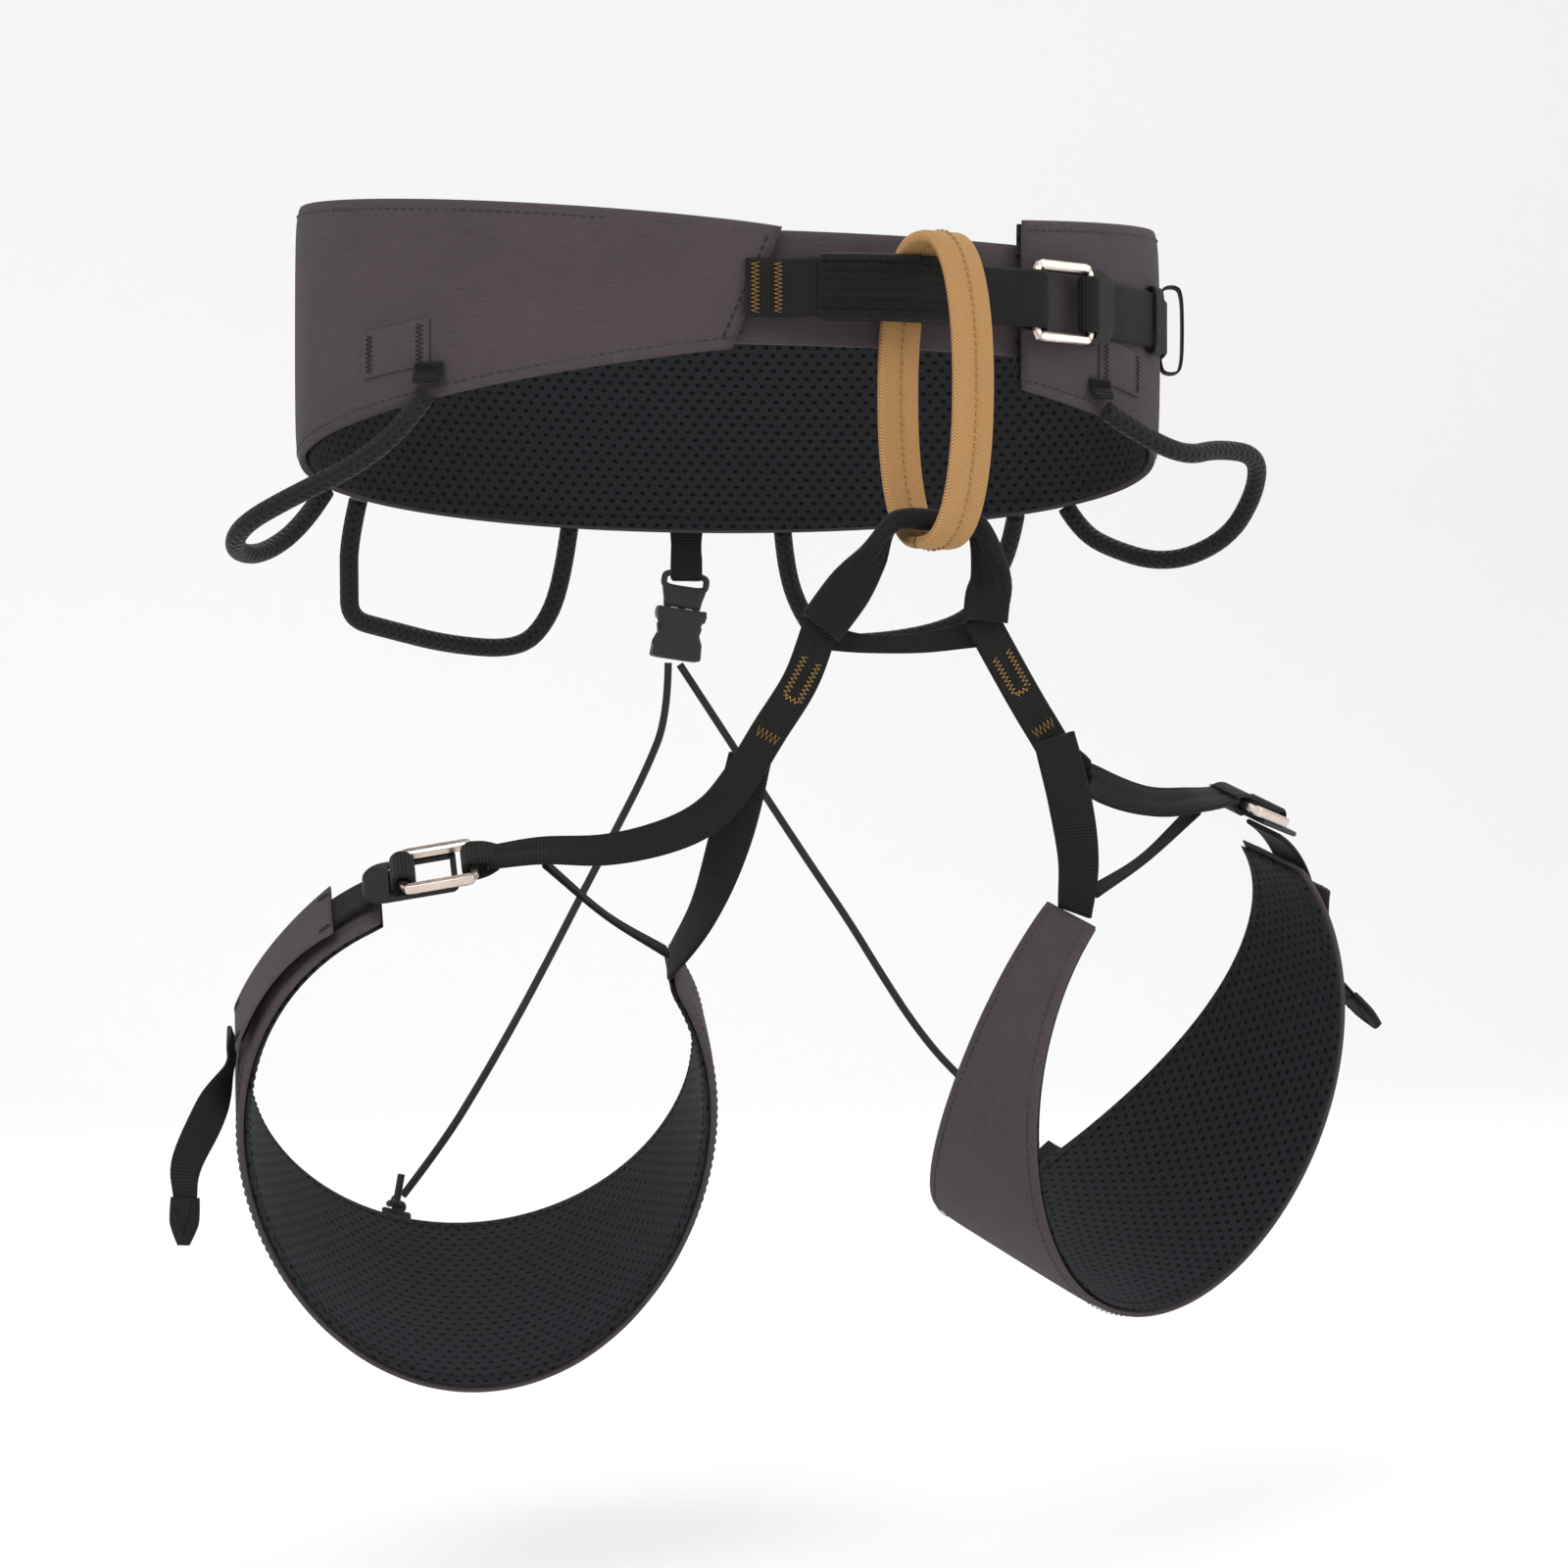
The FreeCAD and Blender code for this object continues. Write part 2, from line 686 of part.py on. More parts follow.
LEGS = {
    "right": {
        "centre": V(-97, -23, -279),
        "turns": (-7, -58, -3),
        "ring": (82.0, 92.0),
        "bow": -8.0,
        "inner": 1,
        "joint": right_joint,
        "pad_ends": (-156, 124),
        "buckle": -171.5,
        "garage": (-146, -110),
        "split": V(-18.7, front_y + 7, -165.4),
        "riser_layer": 1,
        "upper": [(0.30, (1.5, 2.0, -4.0)), (0.68, (1.0, 1.5, -1.5))],
        "front": [
            (0.17, (5.0, 1.5, -7.0)),
            (0.36, (7.0, 2.0, -9.5)),
            (0.60, (6.0, 1.0, -8.0)),
            (0.82, (3.0, -3.0, -2.5)),
        ],
        "riser": [(0.33, (2.0, -4.0, -3.0)), (0.66, (2.0, -3.0, -5.0))],
        "tab": -18,
        "tail": [
            (V(-182.5, -25.0, -263.0), 13.0),
            (V(-190.5, -29.0, -281.0), 12.0),
            (V(-198.0, -33.0, -297.0), 12.0),
            (V(-198.5, -34.0, -309.0), 11.0),
        ],
        "cord": [
            V(-7.5, 92.0, -141.0),
            V(-16.5, 89.5, -162.0),
            V(-28.5, 86.0, -184.0),
            V(-41.5, 82.5, -207.0),
            V(-54.5, 79.5, -231.0),
            V(-68.0, 76.5, -255.0),
            V(-82.5, 73.0, -279.0),
            V(-97.5, 69.5, -302.0),
        ],
    },
    "left": {
        "centre": V(141, -28, -261),
        "turns": (-11, -58, -44),
        "ring": (86.0, 88.0),
        "bow": 8.0,
        "inner": -1,
        "joint": left_joint,
        "pad_ends": (127, -151),
        "buckle": 145,
        "garage": (114, 89),
        "split": V(94.4, front_y + 7, -158.7),
        "riser_layer": -1,
        "upper": [(0.35, (1.0, 1.5, -2.5)), (0.70, (1.0, 1.0, -3.0))],
        "front": [
            (0.22, (0.0, 1.0, -6.0)),
            (0.48, (3.0, 2.0, -8.5)),
            (0.76, (3.0, 0.0, -4.5)),
        ],
        "riser": [(0.36, (2.5, -1.5, 0.0)), (0.70, (3.0, -1.5, 0.0))],
        "tab": 12,
        "tail": [
            (V(226.5, 9.5, -235.0), 13.0),
            (V(233.0, 9.0, -241.0), 12.0),
            (V(240.0, 8.5, -248.0), 11.0),
        ],
        "cord": [
            V(9.5, 92.0, -139.0),
            V(21.5, 89.0, -158.0),
            V(34.5, 86.0, -178.5),
            V(48.0, 83.0, -199.5),
            V(62.0, 80.0, -220.5),
            V(74.0, 76.5, -241.0),
            V(86.5, 73.0, -261.0),
            V(101.0, 69.0, -279.0),
        ],
    },
}

garage_wall = 0.8
garage_edge = 3.2
tail_gap = 3.5
tail_rise = 3.2
tab_reach = 8.0
channel_in = size("pad_fabric") + clear + garage_wall
web_lift = channel_in + clear + webbing / 2
garage_out = web_lift + webbing / 2 + clear + garage_wall
leg_buckle_lift = web_lift + webbing / 2 + clear + plate_drop


def leg_place(leg):
    """Placement of a leg loop's own frame, whose Z is the axis of the thigh."""
    yaw, pitch, roll = leg["turns"]
    turn = FreeCAD.Rotation(V(0, 0, 1), yaw)
    turn = turn.multiply(FreeCAD.Rotation(V(1, 0, 0), pitch))
    turn = turn.multiply(FreeCAD.Rotation(V(0, 1, 0), roll))
    return FreeCAD.Placement(leg["centre"], turn)


def pad_middle(leg, angle):
    """Height of the pad's centre line at a ring angle."""
    return -leg["bow"] * sin(radians(angle)) ** 2


def pad_height(angle):
    """Height of the pad at a ring angle."""
    grow = size("pad_back_height") - size("pad_end_height")
    return size("pad_end_height") + grow * abs(cos(radians(angle) / 2)) ** 3


def pad_edges(leg):
    """A function that gives the pad's top and bottom height at a depth along Y."""

    def heights(depth):
        cosine = min(max(depth / leg["ring"][1], -1), 1)
        grow = size("pad_back_height") - size("pad_end_height")
        half = (size("pad_end_height") + grow * ((1 + cosine) / 2) ** 1.5) / 2
        middle = -leg["bow"] * (1 - cosine**2)
        return middle + half, middle - half

    return heights


def end_wedge(leg):
    """A prism that opens the pad at the front, between its two ends."""
    lateral, medial = leg["pad_ends"]
    step = leg["inner"]
    span = (360 - abs(lateral) - abs(medial)) * step
    far = 3 * max(leg["ring"])
    count = 6
    fan = [medial + span * i / count for i in range(count + 1)]
    outline = [V(0, 0, -far)] + [V(far * sin(radians(a)), far * cos(radians(a)), -far) for a in fan]
    return Part.Face(Part.makePolygon(outline + outline[:1])).extrude(V(0, 0, 2 * far))


def ring_frame(leg, angle, lift, height=0.0):
    """Placement on the ring: X runs outward round the thigh, Z away from it."""
    ring = leg["ring"]
    local = frame_at(
        ring_point(ring, angle, lift, pad_middle(leg, angle) + height),
        ring_tangent(ring, angle) * leg["inner"],
        ring_normal(ring, angle),
    )
    return leg_place(leg).multiply(local)


def leg_loop(side, leg):
    """Every piece of one leg loop."""
    place, ring, inner = leg_place(leg), leg["ring"], leg["inner"]
    profile = side_profile(pad_edges(leg), ring[1], ring[0], 8.0)
    wedge = end_wedge(leg)
    tall = size("pad_back_height")
    layers = (("pad_liner", -size("pad_lining"), 0.0), ("pad_shell", 0.0, size("pad_fabric")))
    for name, low, high in layers:
        wall = oval_wall(ring, low, high, tall).common(profile)
        piece(f"{side}_{name}", wall.cut(wedge), place)

    buckle_at = ring_frame(leg, leg["buckle"], leg_buckle_lift)
    buckle(f"{side}_leg", buckle_at, "leg_webbing_width")

    # webbing from the buckle, through the sleeve and on to the free tail
    garage_start, garage_end = leg["garage"]
    middle = pad_middle(leg, (garage_start + garage_end) / 2)
    half, half_web = leg_width / 2, webbing / 2
    first = leg["buckle"] + inner * degrees(size("adjuster_start") / ring_radius(ring, leg["buckle"]))
    low, high = web_lift - half_web, web_lift + half_web
    adjuster = band(ring, first, garage_end, low, high, middle - half, middle + half)
    piece(f"{side}_adjusting_webbing", adjuster, place)
    base, ceiling = size("pad_fabric") + clear, garage_out - garage_wall
    outer_half, hole_half = half + clear + garage_edge, half + clear
    low, high = middle - outer_half, middle + outer_half
    sleeve = band(ring, garage_start, garage_end, base, garage_out, low, high)
    before, after = garage_start - 4 * inner, garage_end + 4 * inner
    low, high = middle - hole_half, middle + hole_half
    tunnel = band(ring, before, after, channel_in, ceiling, low, high)
    piece(f"{side}_garage_sleeve", sleeve.cut(tunnel), place)

    # free tail, hinged where it leaves the sleeve
    exit_point = place.multVec(ring_point(ring, garage_end, web_lift + tail_rise, middle))
    ahead = place.Rotation.multVec(ring_tangent(ring, garage_end) * inner)
    across = place.Rotation.multVec(V(0, 0, 1))
    tail_route = [(exit_point + ahead * tail_gap, across, size("tail_width"))]
    tail_route += [(point, across, width) for point, width in leg["tail"]]
    piece(f"{side}_tail_webbing", ribbon(tail_route, 1.5))
    last, before = leg["tail"][-1][0], leg["tail"][-2][0]
    run = (last - before).normalize()
    tip_start = last + run * clear
    tip = [
        (tip_start, across, 13.0),
        (tip_start + run * 8, across, 13.0),
        (tip_start + run * 15, across, 5.0),
    ]
    piece(f"{side}_tail_tip", ribbon(tip, 3.2))

    # straps from the bridge
    joint, split = leg["joint"], leg["split"]
    down = (split - joint).normalize()
    strap_top = joint - down * lap_length + V(0, lap_gap, 0)
    front_end = buckle_at.multVec(V(-bar_place - wrap_radius - clear, 0, 0))
    ring_across = place.Rotation.multVec(V(0, 0, 1))
    upper = between(strap_top, split, leg["upper"])
    lower = between(split, front_end, leg["front"])
    strap_route = upper + lower[1:]
    count = len(strap_route) - 1
    stations = []
    for i, point in enumerate(strap_route):
        before, after = strap_route[max(i - 1, 0)], strap_route[min(i + 1, count)]
        flat = facing(before, after)
        if flat.dot(ring_across) < 0:
            flat = flat * -1
        share = max(0.0, (i - len(upper) + 1) / (count - len(upper) + 1))
        stations.append((point, flat * (1 - share) + ring_across * share, leg_strap_width))
    strap_fold = wrap_round_bar(-bar_place, leg_strap_width)
    strap_fold.Placement = buckle_at
    piece(f"{side}_leg_strap", Part.makeCompound([ribbon(stations, strap), strap_fold]))

    # twisted webbing that carries the pad's inner end
    medial = leg["pad_ends"][1]
    end_angle = medial + inner * 1.0
    end_point = place.multVec(ring_point(ring, end_angle, -1.0, pad_middle(leg, end_angle)))
    layer = V(0, leg["riser_layer"] * (strap / 2 + webbing / 2 + 6 * clear), 0)
    riser_start = split - down * 9 + layer
    riser_route = between(riser_start, end_point, leg["riser"])
    start_across = facing(riser_route[0], riser_route[1])
    if start_across.dot(ring_across) < 0:
        start_across = start_across * -1
    riser = []
    for i, point in enumerate(riser_route):
        share = i / (len(riser_route) - 1)
        riser.append((point, start_across * (1 - share) + ring_across * share, leg_width - 1.0))
    piece(f"{side}_riser_webbing", ribbon(riser, webbing))

    # bar tacks on the face of the strap
    face = V(0, -(strap / 2 + 1.0), 0)
    across = facing(joint, split)
    tacks = []
    for centre, reach_out in ((upper[1], 7.0), (upper[2], 2.5)):
        ends = [centre + face - down * reach_out, centre + face + down * reach_out]
        tacks.append(ribbon([(end, across, 6.0) for end in ends], 0.6))
    piece(f"{side}_strap_bar_tacks", Part.makeCompound(tacks))

    # thin elastic from the strap to the pad's inner end
    keep_start = strap_route[-2] + V(0, strap / 2 + 0.8 + clear, -4)
    keep_angle = medial + inner * 6
    keep_end = place.multVec(ring_point(ring, keep_angle, 2.6, pad_middle(leg, keep_angle) - 3))
    keep_mid = (keep_start + keep_end) * 0.5 + V(0, 0, -2.5)
    elastic = [(p, ring_across, 5.0) for p in (keep_start, keep_mid, keep_end)]
    piece(f"{side}_elastic_keeper", ribbon(elastic, 1.6))

    # tab at the back of the pad, knot and elastic riser cord
    tab_angle = leg["tab"]
    tab_top = pad_height(tab_angle) / 2
    tab_place = ring_frame(leg, tab_angle, size("pad_fabric") + clear + 0.9, tab_top)
    tab = Part.makeBox(12, 2 * tab_reach, 1.8, V(-6, -tab_reach, -0.9))
    piece(f"{side}_riser_tab", tab, tab_place)
    return tab_place


tab_places = {side: leg_loop(side, leg) for side, leg in LEGS.items()}

# ---------------------------------------------------------------- gear loops

gear_thick = size("gear_loop_thick")
gear_lift = fabric_out + clear + gear_thick / 2
anchor_height, anchor_thick, anchor_length = 3.8, 3.6, 10.0

# each loop: ring angles of its ends, then share of the way, outward, back and up
GEAR_LOOPS = {
    "right_front_gear_loop": (-131, -64, [
        (0.10, (4, -3, -8)),
        (0.25, (16, -8, -17)),
        (0.41, (33, -12, -23)),
        (0.58, (45, -15, -28)),
        (0.76, (42, -14, -31)),
        (0.90, (27, -10, -28)),
        (0.98, (9, -4, -14)),
    ]),
    "left_front_gear_loop": (131, 61, [
        (0.04, (13, -3, -7.5)),
        (0.15, (30, -8, -11)),
        (0.30, (43, -12, -3)),
        (0.44, (61, -14, 0)),
        (0.56, (63, -12, -10)),
        (0.66, (55, -9, -24)),
        (0.80, (34, -8, -29)),
        (0.94, (12, -4, -17)),
        (1.00, (4, -1, -7)),
    ]),
    "right_rear_gear_loop": (-55, -17, [
        (0.00, (3, 5, -15)),
        (0.03, (5, 8, -30)),
        (0.06, (7, 11, -43)),
        (0.24, (8, 12, -45)),
        (0.55, (9, 13, -48.5)),
        (0.86, (7, 9, -48)),
        (0.97, (5, 6, -36)),
        (1.00, (2, 3, -18)),
    ]),
    "left_rear_gear_loop": (51, 14, [
        (0.05, (4, 6, -12)),
        (0.13, (6, 9, -24)),
        (0.22, (8, 12, -36)),
        (0.38, (9, 14, -42)),
        (0.62, (9, 14, -44.5)),
        (0.88, (8, 11, -44)),
        (0.97, (6, 8, -31)),
        (1.00, (2, 3, -15)),
    ]),
}


def gear_end(angle):
    """Where a gear loop leaves the lower edge of the belt."""
    low = belt_edges(waist[1] * cos(radians(angle)))[1]
    return ring_point(waist, angle, gear_lift, low + 1.0)


anchors = []
for label, (first, last, shape_points) in GEAR_LOOPS.items():
    side = -1 if label.startswith("right") else 1
    shifts = [(share, (out * side, back, up)) for share, (out, back, up) in shape_points]
    loop = tube(label, between(gear_end(first), gear_end(last), shifts), gear_thick)
    piece(label, loop)
    for angle in (first, last):
        half_span = degrees(anchor_length / ring_radius(waist, angle)) / 2
        start, end = angle - half_span, angle + half_span
        foot = gear_end(angle).z + gear_thick / 2 + clear
        inside, outside = fabric_out + clear, fabric_out + clear + anchor_thick
        anchors.append(band(waist, start, end, inside, outside, foot, foot + anchor_height))
piece("gear_loop_anchors", Part.makeCompound(anchors))

# ---------------------------------------------------------------- rear riser

riser_thick = 1.6
riser_overlap = 6.0
riser_y = waist[1] + fabric_out + clear + riser_thick / 2
riser_top = size("belt_back_low") + riser_overlap
riser_low = size("belt_back_low") - size("riser_strap_length") + riser_overlap
half_riser = size("riser_strap_width") / 2
riser = Part.makeBox(
    2 * half_riser,
    riser_thick,
    riser_top - riser_low,
    V(-half_riser, riser_y - riser_thick / 2, riser_low),
)
piece("riser_strap", riser)

lean_rise = size("rear_buckle_width") / 2 * sin(radians(size("riser_lean")))
rear_buckle_at = FreeCAD.Placement(
    V(0, riser_y, riser_low - clear - lean_rise),
    FreeCAD.Rotation(V(0, 1, 0), size("riser_lean")),
)
rear_half = "Sizes.rear_buckle_width / 2"
male = new_body("rear_buckle_male", rear_buckle_at)
neck_top, prong_top = "-Sizes.male_bar + 0.5", "-Sizes.male_length + 0.5"
prong_low = "-Sizes.male_length - Sizes.prong_length"
MALE_PADS = (
    ("bar", f"-({rear_half})", rear_half, "-Sizes.male_bar", "0", "Sizes.male_thick"),
    (
        "neck",
        f"-({rear_half} - 2)",
        f"{rear_half} - 2",
        "-Sizes.male_length",
        neck_top,
        "Sizes.male_thick - 1",
    ),
    (
        "prong_a",
        f"-({rear_half} - 3)",
        f"-({rear_half} - 6)",
        prong_low,
        prong_top,
        "Sizes.prong_thick",
    ),
    ("prong_b", f"{rear_half} - 6", f"{rear_half} - 3", prong_low, prong_top, "Sizes.prong_thick"),
    ("guide", "-1.4", "1.4", f"{prong_low} + 3", prong_top, "Sizes.prong_thick"),
)
for name, left, right, low, high, thick in MALE_PADS:
    outline = rectangle(male, f"male_{name}_outline", (left, right, low, high), "XZ_Plane")
    pad(male, f"male_{name}", outline, thick)
slot = rectangle(
    male,
    "male_slot_outline",
    (f"-({rear_half} - 2.8)", f"{rear_half} - 2.8", "-Sizes.male_bar + 2", "-2"),
    "XZ_Plane",
)
pocket(male, "male_slot", slot)

socket = new_body("rear_buckle_socket", rear_buckle_at)
socket_top = "-Sizes.male_length - Sizes.clearance"
socket_low = f"{socket_top} - Sizes.socket_length"
outline = rectangle(
    socket, "socket_outline", (f"-({rear_half})", rear_half, socket_low, socket_top), "XZ_Plane"
)
slab = pad(socket, "socket_block", outline, "Sizes.rear_buckle_thick")
cavity = rectangle(
    socket,
    "socket_cavity_outline",
    (
        f"-({rear_half} - 2.4)",
        f"{rear_half} - 2.4",
        f"{socket_top} - Sizes.prong_length - 1.5",
        f"{socket_top} + 1",
    ),
    "XZ_Plane",
)
pocket(socket, "socket_cavity", cavity, "Sizes.prong_thick + 2 * Sizes.clearance")
for name, left, right in (
    ("left_window", f"{rear_half} - 3", f"{rear_half} + 1"),
    ("right_window", f"-({rear_half} + 1)", f"-({rear_half} - 3)"),
):
    window = rectangle(
        socket,
        f"{name}_outline",
        (left, right, f"{socket_top} - 12.5", f"{socket_top} - 5.5"),
        "XZ_Plane",
    )
    pocket(socket, name, window, "Sizes.prong_thick + 2 * Sizes.clearance")

# elastic cords from the socket to the backs of the leg loops
cord_thick = size("riser_cord_thick")
knot_radius = size("knot_radius")
socket_floor = size("male_length") + clear + size("socket_length")
for side, leg in LEGS.items():
    above = tab_reach + knot_radius + clear
    knot_centre = tab_places[side].multVec(V(0, -leg["inner"] * above, 0))
    shift = -leg["inner"] * size("cord_spacing") / 2
    start = rear_buckle_at.multVec(V(shift, 0, -socket_floor - 4 * clear))
    last = leg["cord"][-1]
    end = knot_centre + (last - knot_centre).normalize() * (knot_radius + clear / 2)
    piece(f"{side}_riser_cord", tube(f"{side}_riser_cord", [start, *leg["cord"], end], cord_thick))
    print(f"{side} cord from {start} to {end}, knot at {knot_centre}")
    knot = Part.makeSphere(knot_radius, knot_centre)
    tail_way = (V(leg["inner"] * 1.5, 3.0, 9.0)).normalize()
    tail = Part.makeCylinder(cord_thick / 2, knot_radius + 8.0, knot_centre, tail_way)
    piece(f"{side}_riser_knot", knot.fuse(tail))

# ---------------------------------------------------------------- finish

doc.recompute()
os.makedirs("parts", exist_ok=True)
for entry in doc.Objects:
    if "Invalid" in entry.State or "Error" in entry.State:
        raise RuntimeError(f"{entry.Label} did not rebuild: {entry.State}")
for node in nodes:
    shape = node.Shape
    if shape.isNull() or not shape.isValid():
        raise RuntimeError(f"{node.Label} has no valid shape")
for node in nodes:
    node.Shape.exportStep(f"parts/{node.Label}.step")
print(f"{len(nodes)} sub-parts written")
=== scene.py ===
import json
from math import asin, ceil, cos, degrees, pi, radians, sin, sqrt

import bpy
from mathutils import Matrix, Vector


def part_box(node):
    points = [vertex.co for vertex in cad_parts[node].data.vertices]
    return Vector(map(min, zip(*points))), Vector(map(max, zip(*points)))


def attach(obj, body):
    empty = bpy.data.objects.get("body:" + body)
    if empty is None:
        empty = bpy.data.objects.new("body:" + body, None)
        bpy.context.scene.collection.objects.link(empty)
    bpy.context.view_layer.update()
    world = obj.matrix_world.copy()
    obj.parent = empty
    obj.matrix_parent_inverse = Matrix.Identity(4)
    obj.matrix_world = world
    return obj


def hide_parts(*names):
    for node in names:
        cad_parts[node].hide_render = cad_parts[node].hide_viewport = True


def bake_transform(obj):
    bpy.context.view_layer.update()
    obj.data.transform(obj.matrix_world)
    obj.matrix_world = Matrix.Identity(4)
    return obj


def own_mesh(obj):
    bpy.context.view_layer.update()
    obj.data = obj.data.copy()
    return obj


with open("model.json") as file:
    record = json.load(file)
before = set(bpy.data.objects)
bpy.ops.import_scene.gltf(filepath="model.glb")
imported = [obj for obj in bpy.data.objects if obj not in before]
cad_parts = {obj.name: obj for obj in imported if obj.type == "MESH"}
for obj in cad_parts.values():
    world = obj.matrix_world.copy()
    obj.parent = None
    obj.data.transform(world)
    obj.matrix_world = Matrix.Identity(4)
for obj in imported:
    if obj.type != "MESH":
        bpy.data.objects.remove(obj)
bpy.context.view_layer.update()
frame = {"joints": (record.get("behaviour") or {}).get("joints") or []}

bl_info = {
    "name": "Climbing harness",
    "version": (1, 0, 0),
    "blender": (4, 5, 0),
    "location": "View3D > Sidebar > Harness",
    "description": "Builds the soft goods and hardware of a climbing harness round its frame",
    "category": "Add Mesh",
}

JOINTS = {joint["name"]: joint for joint in frame["joints"]}
MM = 0.001
V = Vector
ALONG = V((1, 0, 0))
BACK = V((0, 1, 0))
UP = V((0, 0, 1))

# ------------------------------------------------------------------ settings


def length_property(label, text, default):
    return bpy.props.FloatProperty(
        name=label, description=text, default=default, unit="LENGTH", precision=4)


class HarnessSizes(bpy.types.PropertyGroup):
    """Sizes of the sewn parts and the hardware."""

    waist_half_width: length_property(
        "Waist half width", "Half the inside width of the belt", 0.152)
    waist_half_depth: length_property(
        "Waist half depth", "Half the inside depth of the belt", 0.085)
    belt_thick: length_property("Belt thickness", "Thickness of the padded belt", 0.0057)
    waist_webbing: length_property("Waist webbing", "Width of the waist webbing", 0.020)
    leg_webbing: length_property("Leg webbing", "Width of the leg webbing", 0.016)
    leg_strap: length_property(
        "Leg strap", "Width of the folded strap from the bridge to the leg buckle", 0.0125)
    webbing_thick: length_property(
        "Webbing thickness", "Thickness of a single layer of webbing", 0.0018)
    stitch_pitch: length_property("Stitch pitch", "Distance from one stitch to the next", 0.0032)
    gear_loop_thick: length_property(
        "Gear loop thickness", "Outside diameter of a gear loop", 0.007)
    riser_cord_thick: length_property(
        "Riser cord thickness", "Diameter of the elastic riser cords", 0.003)


def colour_property(label, text, default):
    return bpy.props.FloatVectorProperty(
        name=label, description=text, default=default, subtype="COLOR", size=3, min=0.0, max=1.0)


class HarnessColours(bpy.types.PropertyGroup):
    """Colours of the cloth, thread and metal."""

    belt: colour_property(
        "Belt cloth", "Outer cloth of the belt and leg loops", (0.066, 0.052, 0.058))
    lining: colour_property(
        "Lining", "Spacer mesh inside the belt and leg loops", (0.0135, 0.0142, 0.0165))
    webbing: colour_property("Webbing", "Black load-bearing webbing", (0.0075, 0.0075, 0.0068))
    belay: colour_property("Belay loop", "Webbing of the belay loop", (0.60, 0.325, 0.125))
    thread: colour_property("Bar tacks", "Thread of the bar tacks", (0.40, 0.235, 0.085))
    rail: colour_property("Buckle frame", "Anodised buckle frames", (0.66, 0.56, 0.50))
    plate: colour_property("Buckle plate", "Black buckle plates", (0.012, 0.012, 0.013))
    cord: colour_property("Riser cord", "Elastic cords at the back", (0.018, 0.019, 0.022))


def sizes():
    return bpy.context.scene.harness_sizes


def colours():
    return bpy.context.scene.harness_colours


# ------------------------------------------------------------------ oval rings


def ring_normal(ring, angle):
    turn = radians(angle)
    return V((sin(turn) / ring[0], cos(turn) / ring[1], 0)).normalized()


def ring_tangent(ring, angle):
    turn = radians(angle)
    return V((cos(turn) * ring[0], -sin(turn) * ring[1], 0)).normalized()


def ring_point(ring, angle, lift=0.0, height=0.0):
    """A point on an oval ring. The angle is 0 at the back and grows towards +X."""
    turn = radians(angle)
    return V((ring[0] * sin(turn), ring[1] * cos(turn), height)) + ring_normal(ring, angle) * lift


def ring_speed(ring, angle):
    turn = radians(angle)
    return sqrt((cos(turn) * ring[0]) ** 2 + (sin(turn) * ring[1]) ** 2)


def squared(value, power):
    """A sine or cosine, with its sign, raised to a power to square off a round outline."""
    return abs(value) ** power * (1 if value > 0 else -1)


def axis_of(matrix, axis):
    return matrix.to_3x3() @ axis


def axes_matrix(origin, x_axis, z_axis):
    """A matrix whose X and Z axes point as given."""
    z_axis = z_axis.normalized()
    y_axis = z_axis.cross(x_axis).normalized()
    x_axis = y_axis.cross(z_axis)
    turn = Matrix((x_axis, y_axis, z_axis)).transposed().to_4x4()
    return Matrix.Translation(origin) @ turn


# ------------------------------------------------------------------ paths


def blend_path(points, step):
    """A smooth path with the points as control points, sampled every step."""
    knots = [V(p) for p in points]
    samples = [knots[0]]
    for i in range(1, len(knots) - 1):
        start = knots[0] if i == 1 else (knots[i - 1] + knots[i]) / 2
        end = knots[-1] if i == len(knots) - 2 else (knots[i] + knots[i + 1]) / 2
        count = max(3, ceil((end - start).length / step))
        for k in range(1, count + 1):
            t = k / count
            samples.append(start * (1 - t) ** 2 + knots[i] * 2 * t * (1 - t) + end * t * t)
    return samples


def through(values, step_of, closed=False):
    """Samples of a smooth curve through the values, step_of(i) samples on each span."""
    count = len(values)
    out = []
    spans = count if closed else count - 1
    for i in range(spans):
        if closed:
            a, b, c, d = (values[(i + k) % count] for k in (-1, 0, 1, 2))
        else:
            b, c = values[i], values[i + 1]
            a = values[i - 1] if i > 0 else b + (b - c)
            d = values[i + 2] if i + 2 < count else c + (c - b)
        steps = step_of(i)
        for k in range(steps):
            t = k / steps
            out.append(
                ((b * 2) + (c - a) * t + (a * 2 - b * 5 + c * 4 - d) * t * t
                 + (b * 3 - a - c * 3 + d) * t * t * t) * 0.5)
    if not closed:
        out.append(values[-1])
    return out


def between(start, end, offsets):
    """A route from start to end. Each offset is a share of the way and a shift."""
    inner = [start + (end - start) * share + V(shift) for share, shift in offsets]
    return [start] + inner + [end]


def tangents(path, closed=False):
    count = len(path)
    found = []
    for i in range(count):
        before = path[(i - 1) % count] if closed or i > 0 else path[i]
        after = path[(i + 1) % count] if closed or i < count - 1 else path[i]
        found.append((after - before).normalized())
    return found


# ------------------------------------------------------------------ mesh making


def make_piece(name, points, faces, material, body, replaced=(), uvs=None, smooth=True):
    """A mesh piece from points in millimetres. It rides on its body."""
    mesh = bpy.data.meshes.new(name)
    mesh.from_pydata([V(p) * MM for p in points], [], faces)
    if uvs is not None:
        layer = mesh.uv_layers.new(name="weave")
        for loop in mesh.loops:
            layer.data[loop.index].uv = uvs[loop.vertex_index]
    mesh.validate()
    mesh.update()
    if smooth:
        mesh.shade_smooth()
    mesh.materials.append(material)
    piece = bpy.data.objects.new(name, mesh)
    bpy.context.scene.collection.objects.link(piece)
    if body is not None:
        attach(piece, body)
    if replaced:
        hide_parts(*replaced)
    return piece


